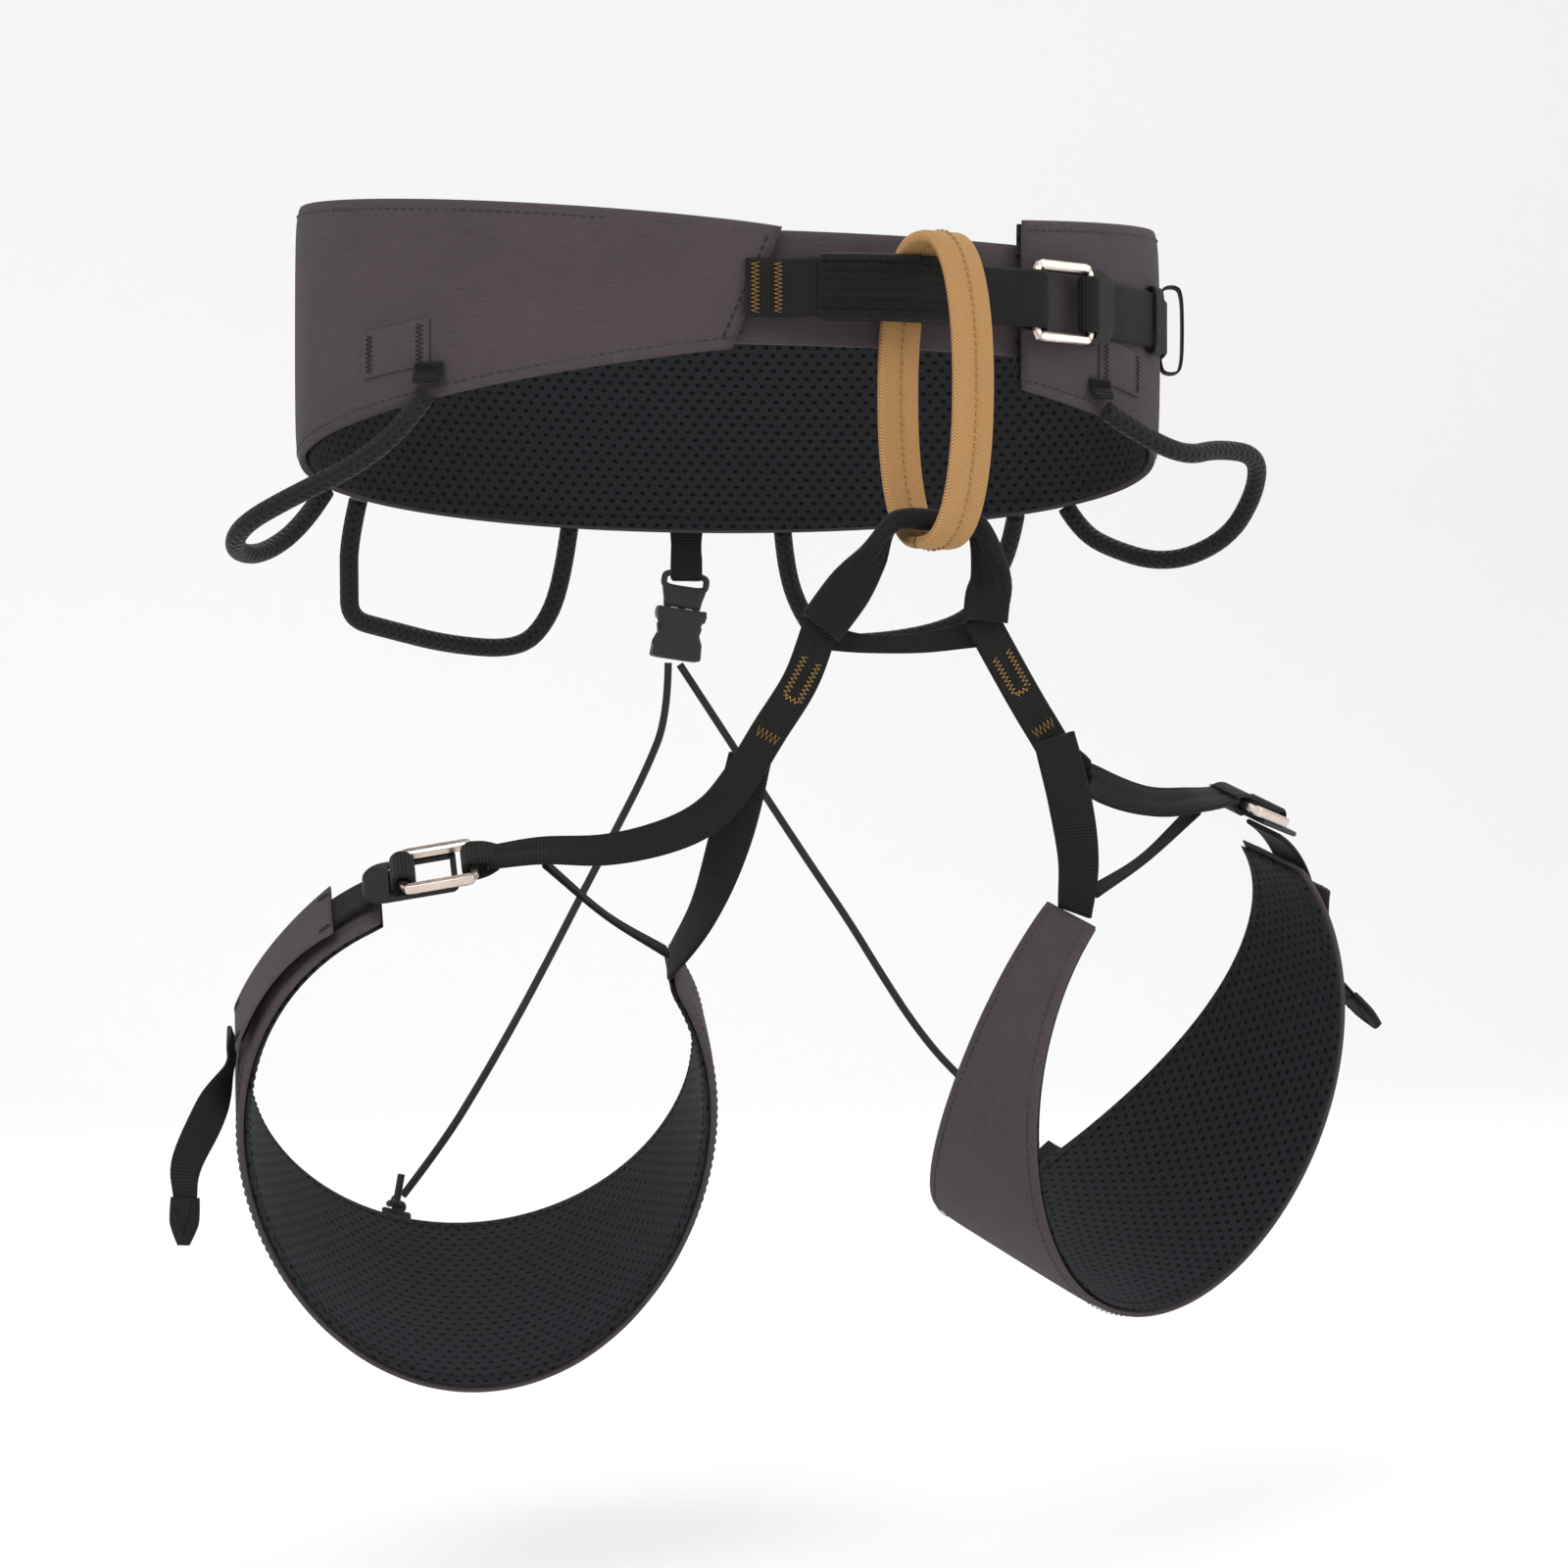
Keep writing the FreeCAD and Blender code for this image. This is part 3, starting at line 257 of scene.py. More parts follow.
def soften(piece, width, segments, angle):
    """A small bevel along a hard piece's edges. The width is in metres, the angle in degrees."""
    bevel = piece.modifiers.new("soft_edges", "BEVEL")
    bevel.width = width
    bevel.segments = segments
    bevel.limit_method = "ANGLE"
    bevel.angle_limit = radians(angle)


def grid_faces(rows, columns, closed_rows=False):
    """Faces of a grid whose columns close on themselves."""
    faces = []
    for i in range(rows if closed_rows else rows - 1):
        a, b = i * columns, ((i + 1) % rows) * columns
        for k in range(columns):
            n = (k + 1) % columns
            faces.append((a + k, b + k, b + n, a + n))
    if not closed_rows:
        faces.append(tuple(range(columns)))
        last = (rows - 1) * columns
        faces.append(tuple(last + k for k in reversed(range(columns))))
    return faces


def strap_section(width, thick, ribs, rib_depth, cells=18):
    """Outline of a strap's section as (across, up, uv across), rounded at its edges."""
    half, up = width / 2, thick / 2
    outline = []
    for side in (1, -1):
        for k in range(cells + 1):
            share = -1 + 2 * k / cells
            across = half * share * side
            edge = min(1.0, (1 - abs(share)) * half / up)
            height = up * sqrt(max(0.0, 1 - (1 - edge) ** 2))
            if ribs:
                height -= rib_depth * (0.5 + 0.5 * cos(pi * ribs * (share + 1))) * (edge >= 1)
            outline.append((across, height * side, across))
    return outline


def strap(name, stations, thick, material, body, replaced=(), closed=False, step=2.2,
          ribs=0, rib_depth=0.0, cells=18, wave=0.0):
    """A flat strap through stations of centre, width direction, width and, if it varies, thickness."""
    centres = [V(s[0]) for s in stations]
    count = len(centres)

    def steps(i):
        return max(2, ceil((centres[(i + 1) % count] - centres[i]).length / step))

    path = through(centres, steps, closed)
    sides = through([V(s[1]).normalized() for s in stations], steps, closed)
    widths = through([V((s[2], s[3] if len(s) > 3 else thick, 0)) for s in stations], steps, closed)
    along = tangents(path, closed)
    points, uvs, travel = [], [], 0.0
    columns = 0
    for i, centre in enumerate(path):
        if i:
            travel += (centre - path[i - 1]).length
        side = (sides[i] - along[i] * sides[i].dot(along[i])).normalized()
        up = along[i].cross(side)
        ripple = wave * sin(travel / 5.3 + 0.7) * sin(travel / 13.1)
        section = strap_section(widths[i].x, widths[i].y, ribs, rib_depth, cells)
        columns = len(section)
        for across, height, mark in section:
            points.append(centre + side * across + up * (height + ripple))
            uvs.append((travel / 10, mark / 10))
    faces = grid_faces(len(path), columns, closed)
    return make_piece(name, points, faces, material, body, replaced, uvs)


def tube_points(path, radius, sides, closed=False, taper=False):
    """Points and marks of a round tube along a path."""
    along = tangents(path, closed)
    side = along[0].orthogonal().normalized()
    points, marks, travel = [], [], 0.0
    last = len(path) - 1
    for i, centre in enumerate(path):
        if i:
            travel += (centre - path[i - 1]).length
        side = (side - along[i] * side.dot(along[i])).normalized()
        other = along[i].cross(side)
        r = radius * (0.35 if taper and i in (0, last) else 1.0)
        for k in range(sides):
            turn = 2 * pi * k / sides
            points.append(centre + side * (cos(turn) * r) + other * (sin(turn) * r))
            marks.append((travel / 10, k / sides))
    return points, marks


def tube(name, path, radius, material, body, replaced=(), sides=14, closed=False):
    points, marks = tube_points(path, radius, sides, closed)
    faces = grid_faces(len(path), sides, closed)
    return make_piece(name, points, faces, material, body, replaced, marks)


def threads(name, runs, radius, material, body, replaced=(), sides=6):
    """Many short threads in one piece."""
    points, faces, marks = [], [], []
    for run in runs:
        more, more_marks = tube_points([V(p) for p in run], radius, sides, taper=True)
        base = len(points)
        points += more
        marks += more_marks
        faces += [tuple(base + v for v in f) for f in grid_faces(len(run), sides)]
    return make_piece(name, points, faces, material, body, replaced, marks)


def stitch_runs(points, normals, pitch, proud):
    """Short arched runs of thread along a line of points."""
    runs, travel, want = [], 0.0, 0.0
    for i in range(1, len(points)):
        piece_length = (points[i] - points[i - 1]).length
        while want <= travel + piece_length:
            share = (want - travel) / piece_length
            here = points[i - 1].lerp(points[i], share)
            way = (points[i] - points[i - 1]).normalized()
            normal = normals[i]
            half = pitch * 0.36
            runs.append([
                here - way * half - normal * 0.15,
                here - way * half * 0.6 + normal * proud,
                here + way * half * 0.6 + normal * proud,
                here + way * half - normal * 0.15,
            ])
            want += pitch
        travel += piece_length
    return runs


def zigzag(centre, along, across, length, width, step, normal, lift):
    """One dense zigzag of thread, as a bar tack has."""
    count = max(4, round(length / step))
    path = []
    for i in range(count + 1):
        share = -0.5 + i / count
        side = 0.5 if i % 2 else -0.5
        path.append(centre + along * (length * share) + across * (width * side) + normal * lift)
    return path


def panel(name, place, ring, start, end, edges, inner, outer, crown, material, body,
          replaced=(), cells=(150, 22), seam=4.0, groove=0.35, wobble=0.25, edge_power=10):
    """A padded wall on an oval ring, with pinched edges and a sewn groove along them."""
    rows, columns = cells
    middle = (inner + outer) / 2
    points, uvs = [], []
    travel = 0.0
    previous = None
    for i in range(rows + 1):
        share = i / rows
        guide = start(0.0) + (end(0.0) - start(0.0)) * share
        centre = ring_point(ring, guide)
        if previous is not None:
            travel += (centre - previous).length
        previous = centre
        for side in (1, -1):
            for k in range(columns + 1):
                v = (-1 + 2 * k / columns) * side
                v = v * (1.5 - 0.5 * v * v)
                angle = start(v) + (end(v) - start(v)) * share
                low, high = edges(angle)
                height = (low + high) / 2 + v * (high - low) / 2
                half = (high - low) / 2
                pinch = max(0.0, 1 - abs(v) ** edge_power) ** 0.5
                pinch *= min(1.0, sqrt(min(share, 1 - share) * rows / 1.5 + 0.05))
                dip = groove * max(0.0, 1 - abs(half * (1 - abs(v)) - seam) / 1.1)
                puff = crown * (1 - v * v) + wobble * sin(angle / 7.0 + v * 2.1) * sin(angle / 3.1)
                if side > 0:
                    lift = middle + (outer - middle + puff - dip) * pinch
                else:
                    lift = middle - (middle - inner - 0.3 * dip) * pinch
                points.append(place @ ring_point(ring, angle, lift, height))
                uvs.append((travel / 10, height / 10))
    faces = grid_faces(rows + 1, 2 * (columns + 1))
    return make_piece(name, points, faces, material, body, replaced, uvs)


def ring_line(place, ring, angles, lift_at, height_at):
    """Points and outward normals of a line drawn on a ring."""
    turn = place.to_3x3()
    points = [place @ ring_point(ring, a, lift_at(a), height_at(a)) for a in angles]
    normals = [turn @ ring_normal(ring, a) for a in angles]
    return points, normals


def edge_stitches(place, ring, angles, lift, edges, inset, proud, inward=False):
    """Stitches along both edges of a panel, set in from them."""
    runs = []
    for upper, sign in ((0, 1), (1, -1)):
        points, normals = ring_line(
            place, ring, angles, lambda a: lift, lambda a: edges(a)[upper] + sign * inset)
        if inward:
            normals = [n * -1 for n in normals]
        runs += stitch_runs(points, normals, sizes().stitch_pitch / MM, proud)
    return runs


# ------------------------------------------------------------------ materials


class Weaver:
    """Builds one material's nodes."""

    def __init__(self, name, roughness, metallic=0.0, specular=0.5):
        self.material = bpy.data.materials.new(name)
        self.material.use_nodes = True
        self.tree = self.material.node_tree
        self.shader = self.tree.nodes["Principled BSDF"]
        self.shader.inputs["Roughness"].default_value = roughness
        self.shader.inputs["Metallic"].default_value = metallic
        self.shader.inputs["Specular IOR Level"].default_value = specular

    def node(self, kind, **settings):
        made = self.tree.nodes.new(kind)
        for key, value in settings.items():
            setattr(made, key, value)
        return made

    def link(self, source, target):
        self.tree.links.new(source, target)

    def feed(self, socket, value):
        if hasattr(value, "is_output"):
            self.link(value, socket)
        else:
            socket.default_value = value

    def math(self, operation, first, second=0.0):
        made = self.node("ShaderNodeMath", operation=operation)
        self.feed(made.inputs[0], first)
        self.feed(made.inputs[1], second)
        return made.outputs[0]

    def plus(self, first, second):
        return self.math("ADD", first, second)

    def times(self, first, second):
        return self.math("MULTIPLY", first, second)

    def marks(self):
        """The weave coordinates, in centimetres, along and across the piece."""
        uv = self.node("ShaderNodeUVMap", uv_map="weave")
        parts = self.node("ShaderNodeSeparateXYZ")
        self.link(uv.outputs[0], parts.inputs[0])
        return uv.outputs[0], parts.outputs[0], parts.outputs[1]

    def object_place(self):
        return self.node("ShaderNodeTexCoord").outputs["Object"]

    def noise(self, place, scale, detail=3.0, roughness=0.55, stretch=None):
        if stretch is not None:
            mapping = self.node("ShaderNodeMapping")
            mapping.inputs["Scale"].default_value = stretch
            self.link(place, mapping.inputs["Vector"])
            place = mapping.outputs[0]
        made = self.node("ShaderNodeTexNoise")
        made.inputs["Scale"].default_value = scale
        made.inputs["Detail"].default_value = detail
        made.inputs["Roughness"].default_value = roughness
        self.link(place, made.inputs["Vector"])
        return made.outputs["Fac"]

    def wave(self, coordinate, period, phase=0.0):
        """A sine of a coordinate, between 0 and 1."""
        turned = self.times(coordinate, 2 * pi / period)
        turned = self.plus(turned, phase)
        return self.plus(self.times(self.math("SINE", turned), 0.5), 0.5)

    def mix(self, share, first, second):
        made = self.node("ShaderNodeMix", data_type="RGBA")
        self.feed(made.inputs[0], share)
        self.feed(made.inputs[6], first if hasattr(first, "is_output") else (*first, 1))
        self.feed(made.inputs[7], second if hasattr(second, "is_output") else (*second, 1))
        return made.outputs[2]

    def between(self, value, low, high, to_low=0.0, to_high=1.0):
        made = self.node("ShaderNodeMapRange")
        self.feed(made.inputs["Value"], value)
        made.inputs["From Min"].default_value = low
        made.inputs["From Max"].default_value = high
        made.inputs["To Min"].default_value = to_low
        made.inputs["To Max"].default_value = to_high
        return made.outputs[0]

    def finish(self, colour, height=None, depth=0.0002, strength=1.0, rough=None):
        self.link(colour, self.shader.inputs["Base Color"])
        if rough is not None:
            self.link(rough, self.shader.inputs["Roughness"])
        if height is not None:
            bump = self.node("ShaderNodeBump")
            bump.inputs["Strength"].default_value = strength
            bump.inputs["Distance"].default_value = depth
            self.link(height, bump.inputs["Height"])
            self.link(bump.outputs[0], self.shader.inputs["Normal"])
        return self.material

    def sheen(self, weight, roughness, tint=(1, 1, 1)):
        self.shader.inputs["Sheen Weight"].default_value = weight
        self.shader.inputs["Sheen Roughness"].default_value = roughness
        self.shader.inputs["Sheen Tint"].default_value = (*tint, 1)


def shade(colour, factor):
    return tuple(min(1.0, c * factor) for c in colour)


def belt_cloth():
    """Plain woven outer cloth with slubs along the belt."""
    w = Weaver("belt_cloth", 0.86, specular=0.16)
    place, along, across = w.marks()
    slub = w.noise(place, 1.0, 4.0, 0.7, (1.2, 34.0, 1.0))
    fine = w.noise(place, 1.0, 2.0, 0.5, (9.0, 90.0, 1.0))
    weft = w.wave(across, 0.055)
    warp = w.wave(along, 0.07)
    cloud = w.noise(place, 0.35, 3.0, 0.6)
    base = tuple(colours().belt)
    share = w.plus(w.times(slub, 0.6), w.times(fine, 0.4))
    body = w.mix(w.between(share, 0.36, 0.64), shade(base, 0.72), shade(base, 1.32))
    body = w.mix(w.times(w.between(cloud, 0.35, 0.7), 0.25), body, shade(base, 1.5))
    body = w.mix(w.times(weft, 0.22), body, shade(base, 0.5))
    threads_up = w.times(weft, w.between(warp, 0.0, 1.0, 0.55, 1.0))
    height = w.plus(threads_up, w.times(share, 1.4))
    w.sheen(0.05, 0.5, (0.9, 0.84, 0.9))
    return w.finish(body, height, 0.00022, 0.7)


def lining_mesh():
    """Spacer mesh with staggered perforations."""
    w = Weaver("lining_mesh", 0.8, specular=0.12)
    place, along, across = w.marks()
    pitch_along, pitch_across = 0.50, 0.30
    row = w.math("FLOOR", w.math("DIVIDE", across, pitch_across))
    offset = w.times(w.math("MODULO", w.math("ABSOLUTE", row), 2.0), 0.5)
    cell = w.plus(w.math("DIVIDE", along, pitch_along), offset)
    dx = w.math("SUBTRACT", w.math("FRACT", w.plus(cell, 100.0)), 0.5)
    dy = w.math("SUBTRACT", w.math("FRACT", w.plus(w.math("DIVIDE", across, pitch_across), 100.0)), 0.5)
    reach = w.plus(w.math("POWER", w.times(w.math("ABSOLUTE", dx), 1.5), 2.0),
                   w.math("POWER", w.times(w.math("ABSOLUTE", dy), 1.25), 2.0))
    hole = w.between(w.math("SQRT", reach), 0.24, 0.36)
    knit = w.noise(place, 46.0, 2.0, 0.6)
    base = tuple(colours().lining)
    body = w.mix(knit, shade(base, 0.8), shade(base, 1.7))
    # The perforations are painted at a tenth of the lining colour: painted shade inside the holes.
    body = w.mix(w.math("SUBTRACT", 1.0, hole), body, shade(base, 0.10))
    height = w.plus(w.times(hole, 1.0), w.times(knit, 0.25))
    w.sheen(0.04, 0.45, (0.85, 0.88, 1.0))
    return w.finish(body, height, 0.0007, 0.9)


def black_webbing(name="black_webbing", rib=0.11, tone=1.0):
    """Ribbed polyamide webbing. The ribs run across the strap."""
    w = Weaver(name, 0.62, specular=0.14)
    place, along, across = w.marks()
    ribs = w.wave(along, rib)
    warp = w.wave(across, 0.07, 0.4)
    fuzz = w.noise(place, 30.0, 2.0, 0.6)
    base = shade(tuple(colours().webbing), tone)
    share = w.times(ribs, w.between(warp, 0.0, 1.0, 0.6, 1.0))
    # Rib crests are painted lighter and the grooves between ribs darker, following the rib relief:
    # painted highlight and painted shade.
    body = w.mix(share, shade(base, 0.55), shade(base, 1.9))
    body = w.mix(w.times(fuzz, 0.3), body, shade(base, 2.6))
    height = w.plus(share, w.times(fuzz, 0.2))
    w.sheen(0.05, 0.35)
    return w.finish(body, height, 0.00035, 0.8, w.between(share, 0.0, 1.0, 0.72, 0.5))


def belay_webbing():
    """Gold twill webbing."""
    w = Weaver("belay_webbing", 0.7, specular=0.2)
    place, along, across = w.marks()
    slope = w.plus(along, w.times(w.math("ABSOLUTE", across), 1.0))
    twill = w.wave(slope, 0.115)
    warp = w.wave(across, 0.06)
    fuzz = w.noise(place, 22.0, 3.0, 0.6)
    tone = w.noise(place, 0.9, 2.0, 0.5)
    base = tuple(colours().belay)
    share = w.times(twill, w.between(warp, 0.0, 1.0, 0.7, 1.0))
    # Twill ridges are painted lighter and the hollows between them darker, following the twill relief:
    # painted highlight and painted shade.
    body = w.mix(share, shade(base, 0.50), shade(base, 1.16))
    body = w.mix(w.times(tone, 0.25), body, shade(base, 0.7))
    height = w.plus(share, w.times(fuzz, 0.25))
    w.sheen(0.08, 0.4, (1.0, 0.85, 0.6))
    return w.finish(body, height, 0.0004, 0.9)


def thread_finish(name, colour, roughness=0.5):
    w = Weaver(name, roughness, specular=0.2)
    place = w.object_place()
    tone = w.noise(place, 900.0, 2.0, 0.5)
    body = w.mix(tone, shade(colour, 0.65), shade(colour, 1.3))
    w.sheen(0.05, 0.3)
    return w.finish(body, tone, 0.0001, 0.4)


def braided_sheath():
    """Two sets of strands that cross on a round cord."""
    w = Weaver("braided_sheath", 0.6, specular=0.16)
    _, along, round_it = w.marks()
    turns = w.times(round_it, 8.0)
    pitch = w.math("DIVIDE", along, 0.17)
    right = w.wave(w.plus(pitch, turns), 2.0)
    left = w.wave(w.math("SUBTRACT", pitch, turns), 2.0)
    strands = w.math("MAXIMUM", right, left)
    under = w.times(right, left)
    fine = w.wave(w.plus(w.times(pitch, 4.0), w.times(turns, 2.0)), 2.0)
    base = shade(tuple(colours().webbing), 1.15)
    # Strand crowns are painted lighter and the gaps between strands darker: painted highlight and
    # painted shade of the braid relief.
    body = w.mix(strands, shade(base, 0.45), shade(base, 2.0))
    body = w.mix(w.times(fine, 0.25), body, shade(base, 0.7))
    height = w.plus(w.times(strands, 1.0), w.times(under, 0.4))
    w.sheen(0.05, 0.35)
    return w.finish(body, height, 0.0005, 0.9)


def elastic_cord():
    w = Weaver("elastic_cord", 0.6, specular=0.2)
    place = w.object_place()
    grain = w.noise(place, 1400.0, 2.0, 0.6)
    base = tuple(colours().cord)
    body = w.mix(grain, shade(base, 0.6), shade(base, 1.7))
    w.sheen(0.05, 0.4)
    return w.finish(body, grain, 0.00025, 0.8)


def anodised_rail():
    """Champagne anodised aluminium, brushed, with brighter worn spots."""
    w = Weaver("anodised_rail", 0.3, 1.0)
    place = w.object_place()
    brushed = w.noise(place, 260.0, 4.0, 0.6, (1.0, 1.0, 9.0))
    wear = w.noise(place, 90.0, 3.0, 0.6)
    base = tuple(colours().rail)
    body = w.mix(w.between(wear, 0.45, 0.7), base, shade(base, 1.12))
    rough = w.between(brushed, 0.3, 0.7, 0.2, 0.38)
    return w.finish(body, brushed, 0.00003, 0.5, rough)


def anodised_plate():
    w = Weaver("anodised_plate", 0.4, 0.6)
    place = w.object_place()
    grain = w.noise(place, 700.0, 3.0, 0.6)
    scuff = w.noise(place, 60.0, 4.0, 0.7)
    base = tuple(colours().plate)
    body = w.mix(w.between(scuff, 0.55, 0.8), base, shade(base, 3.5))
    rough = w.between(grain, 0.3, 0.7, 0.32, 0.5)
    return w.finish(body, grain, 0.00002, 0.5, rough)


def moulded_plastic():
    w = Weaver("moulded_plastic", 0.45, specular=0.35)
    place = w.object_place()
    grain = w.noise(place, 1100.0, 2.0, 0.5)
    tone = w.noise(place, 80.0, 2.0, 0.5)
    base = shade(tuple(colours().plate), 1.3)
    body = w.mix(tone, shade(base, 0.8), shade(base, 1.5))
    return w.finish(body, grain, 0.00004, 0.6, w.between(grain, 0.3, 0.7, 0.38, 0.55))


FINISHES = {}


def finish(name):
    """A shared material, made the first time that it is asked for."""
    makers = {
        "cloth": belt_cloth,
        "lining": lining_mesh,
        "webbing": black_webbing,
        "fine_webbing": lambda: black_webbing("fine_webbing", 0.07, 1.1),
        "belay": belay_webbing,
        "gold_thread": lambda: thread_finish("gold_thread", tuple(colours().thread)),
        "black_thread": lambda: thread_finish("black_thread", (0.009, 0.009, 0.010)),
        "cloth_thread": lambda: thread_finish("cloth_thread", shade(tuple(colours().belt), 0.6)),
        "tan_thread": lambda: thread_finish("tan_thread", shade(tuple(colours().belay), 0.62)),
        "sheath": braided_sheath,
        "cord": elastic_cord,
        "rail": anodised_rail,
        "plate": anodised_plate,
        "plastic": moulded_plastic,
    }
    if name not in FINISHES:
        FINISHES[name] = makers[name]()
    return FINISHES[name]


# ------------------------------------------------------------------ waist belt

CLEAR = 0.4
BELT_TOP = (21.0, 42.0, 0.4)
BELT_LOW = (-18.5, -70.0, 0.6)
GAP_LEAN = 0.43
GAP_LEFT = 85.0
PLATE_DROP = 3.7
BAR_PLACE = 12.0
WRAP_MIDDLE = 3.45
PATCH_ANGLES = (118.0, 131.0)
PATCH_TILT = 0.30
TIE_IN_BULGE = 12.5
WAIST_BUCKLE_TURN = 38.5
WAIST_FRAME_WIDTH, LEG_FRAME_WIDTH = 28.0, 24.0


def waist_ring():
    return (sizes().waist_half_width / MM, sizes().waist_half_depth / MM)


def belt_edges(angle):
    """Bottom and top height of the belt at a ring angle."""
    share = (1 + cos(radians(angle))) / 2
    front_top, back_top, top_power = BELT_TOP
    front_low, back_low, low_power = BELT_LOW
    top = front_top + (back_top - front_top) * share ** top_power
    low = front_low + (back_low - front_low) * share ** low_power
    return low, top


def front_angle(x):
    """Ring angle of a point at the front of the waist, from its X."""
    return 180.0 - degrees(asin(x / waist_ring()[0]))


def belt_start(v):
    return front_angle(GAP_LEFT)


def belt_end(v):
    height = 1.2 + 19.8 * v
    return front_angle(-2.0 + (height - 21.0) * GAP_LEAN) - 360.0


def belt_angles(count, margin):
    first, last = belt_start(0), belt_end(0)
    return [first - margin + (last + 2 * margin - first) * i / count for i in range(count + 1)]


class HARNESS_OT_belt(bpy.types.Operator):
    """Padded waist belt: outer cloth, spacer mesh lining, seams and front tongue"""
    bl_idname = "harness.belt"
    bl_label = "Waist belt"

    def execute(self, context):
        ring, place = waist_ring(), Matrix.Identity(4)
        thick = sizes().belt_thick / MM
        shell = panel(
            "belt_outer", place, ring, belt_start, belt_end, belt_edges, 1.9, thick + 0.1, 0.5,
            finish("cloth"), "root", ("belt_shell", "belt_foam"), (260, 26))

        def inner_edges(angle):
            low, high = belt_edges(angle)
            return low + 1.0, high - 1.0

        panel(
            "belt_inner", place, ring, belt_start, belt_end, inner_edges, -0.3, 2.2, 0.0,
            finish("lining"), "root", ("belt_liner",), (260, 26), 5.0, 0.5, 0.12)
        pitch = sizes().stitch_pitch / MM
        angles = belt_angles(400, 1.0)
        edging = edge_stitches(place, ring, angles, thick - 0.25, belt_edges, 3.6, 0.15)
        threads("belt_edging", edging, 0.2, finish("cloth_thread"), "root")
        lean_line = []
        for i in range(20):
            height = -15.5 + 33.0 * i / 19
            angle = front_angle(-2.0 + (height - 21.0) * GAP_LEAN - 4.0)
            lean_line.append(ring_point(ring, angle, thick - 0.1, height))
        front = [V((0, -1, 0))] * len(lean_line)
        runs = stitch_runs(lean_line, front, pitch, 0.45)
        threads("belt_stitching", runs, 0.26, finish("black_thread"), "root")

        inside = edge_stitches(place, ring, angles, -0.1, inner_edges, 4.6, 0.4, inward=True)
        threads("lining_stitching", inside, 0.24, finish("black_thread"), "root")

        low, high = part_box("front_tongue")
        left, right = front_angle(high.x / MM), front_angle(low.x / MM)
        panel(
            "tongue", place, ring, lambda v: left, lambda v: right,
            lambda a: (low.z / MM, high.z / MM), -3.4, -0.5, 0.2,
            finish("cloth"), "root", ("front_tongue",), (60, 14), 4.0, 0.3, 0.15)
        return {"FINISHED"}


class HARNESS_OT_hip_patches(bpy.types.Operator):
    """Hip patches with a slot between two bar tacks, for an ice-tool clip"""
    bl_idname = "harness.hip_patches"
    bl_label = "Hip patches"

    def execute(self, context):
        ring, lift = waist_ring(), sizes().belt_thick / MM + CLEAR
        box_low, box_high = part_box("hip_patches")
        low, high = box_low.z / MM, box_high.z / MM
        for side, label in ((-1, "right"), (1, "left")):
            start, end = (side * angle for angle in PATCH_ANGLES)
            middle = (start + end) / 2

            def edges(angle):
                rise = PATCH_TILT * (abs(angle) - abs(middle))
                return low + rise, high + rise

            replaced = ("hip_patches",) if side < 0 else ()
            panel(
                f"{label}_hip_patch", Matrix.Identity(4), ring, lambda v: start, lambda v: end,
                edges, lift, lift + 1.2, 0.0, finish("cloth"), "root", replaced,
                (24, 12), 2.0, 0.15, 0.05)
            runs = []
            for angle in (start + side * 1.6, end - side * 1.6):
                a, b = edges(angle)
                centre = ring_point(ring, angle, 0, (a + b) / 2)
                runs.append(zigzag(
                    centre, UP, ring_tangent(ring, angle), (b - a) - 3.0, 2.6, 0.75,
                    ring_normal(ring, angle), lift + 1.35))
            threads(f"{label}_patch_tacks", runs, 0.3, finish("black_thread"), "root")
        return {"FINISHED"}


# ------------------------------------------------------------------ waist webbing


def waist_lifts():
    web = sizes().webbing_thick / MM
    first = sizes().belt_thick / MM + CLEAR + web / 2
    return first, first + 1.2


def waist_buckle_matrix():
    """The waist buckle's own axes: X along the webbing, Z away from the belt."""
    joint = JOINTS["waist_buckle_tilt"]
    bar = V(joint["pos_m"]) / MM
    guess = front_angle(0) - WAIST_BUCKLE_TURN
    x_axis = ring_tangent(waist_ring(), guess) * -1
    z_axis = ring_normal(waist_ring(), guess)
    return axes_matrix(bar + x_axis * BAR_PLACE, x_axis, z_axis)


def waist_route():
    ring, (lift, _) = waist_ring(), waist_lifts()
    buckle = waist_buckle_matrix()
    return [
        ring_point(ring, front_angle(-15), lift + 0.2),
        ring_point(ring, front_angle(-10), lift + 0.3),
        ring_point(ring, front_angle(-4), lift + 1.2),
        ring_point(ring, front_angle(8), lift + 0.62 * TIE_IN_BULGE),
        ring_point(ring, front_angle(33), lift + TIE_IN_BULGE),
        ring_point(ring, front_angle(58), lift + 0.72 * TIE_IN_BULGE),
        buckle @ V((-BAR_PLACE - WRAP_MIDDLE - 9, 0, 0.6)),
        buckle @ V((-BAR_PLACE - WRAP_MIDDLE - 3.5, 0, 1.6)),
    ]


def fold_route(bar, away, reach):
    """Webbing that comes in on one side of a bar, goes round it and leaves again."""
    points = [(bar - away * (WRAP_MIDDLE + reach), 0.95), (bar - away * WRAP_MIDDLE * 1.25, 2.7)]
    for i in range(7):
        turn = radians(90 - 30 * i)
        points.append((bar + away * WRAP_MIDDLE * cos(turn), WRAP_MIDDLE * sin(turn)))
    points += [(bar - away * WRAP_MIDDLE * 1.25, -2.7), (bar - away * (WRAP_MIDDLE + reach), -0.95)]
    return points


def wrap_route(bar):
    """Webbing that comes up inside the frame and goes back down outside it."""
    points = []
    for i in range(10):
        turn = radians(238 - 33 * i)
        points.append((bar + WRAP_MIDDLE * cos(turn), WRAP_MIDDLE * sin(turn)))
    return points


def in_buckle(matrix, points, width):
    side = axis_of(matrix, BACK)
    return [(matrix @ V((x, 0, z)), side, width) for x, z in points]


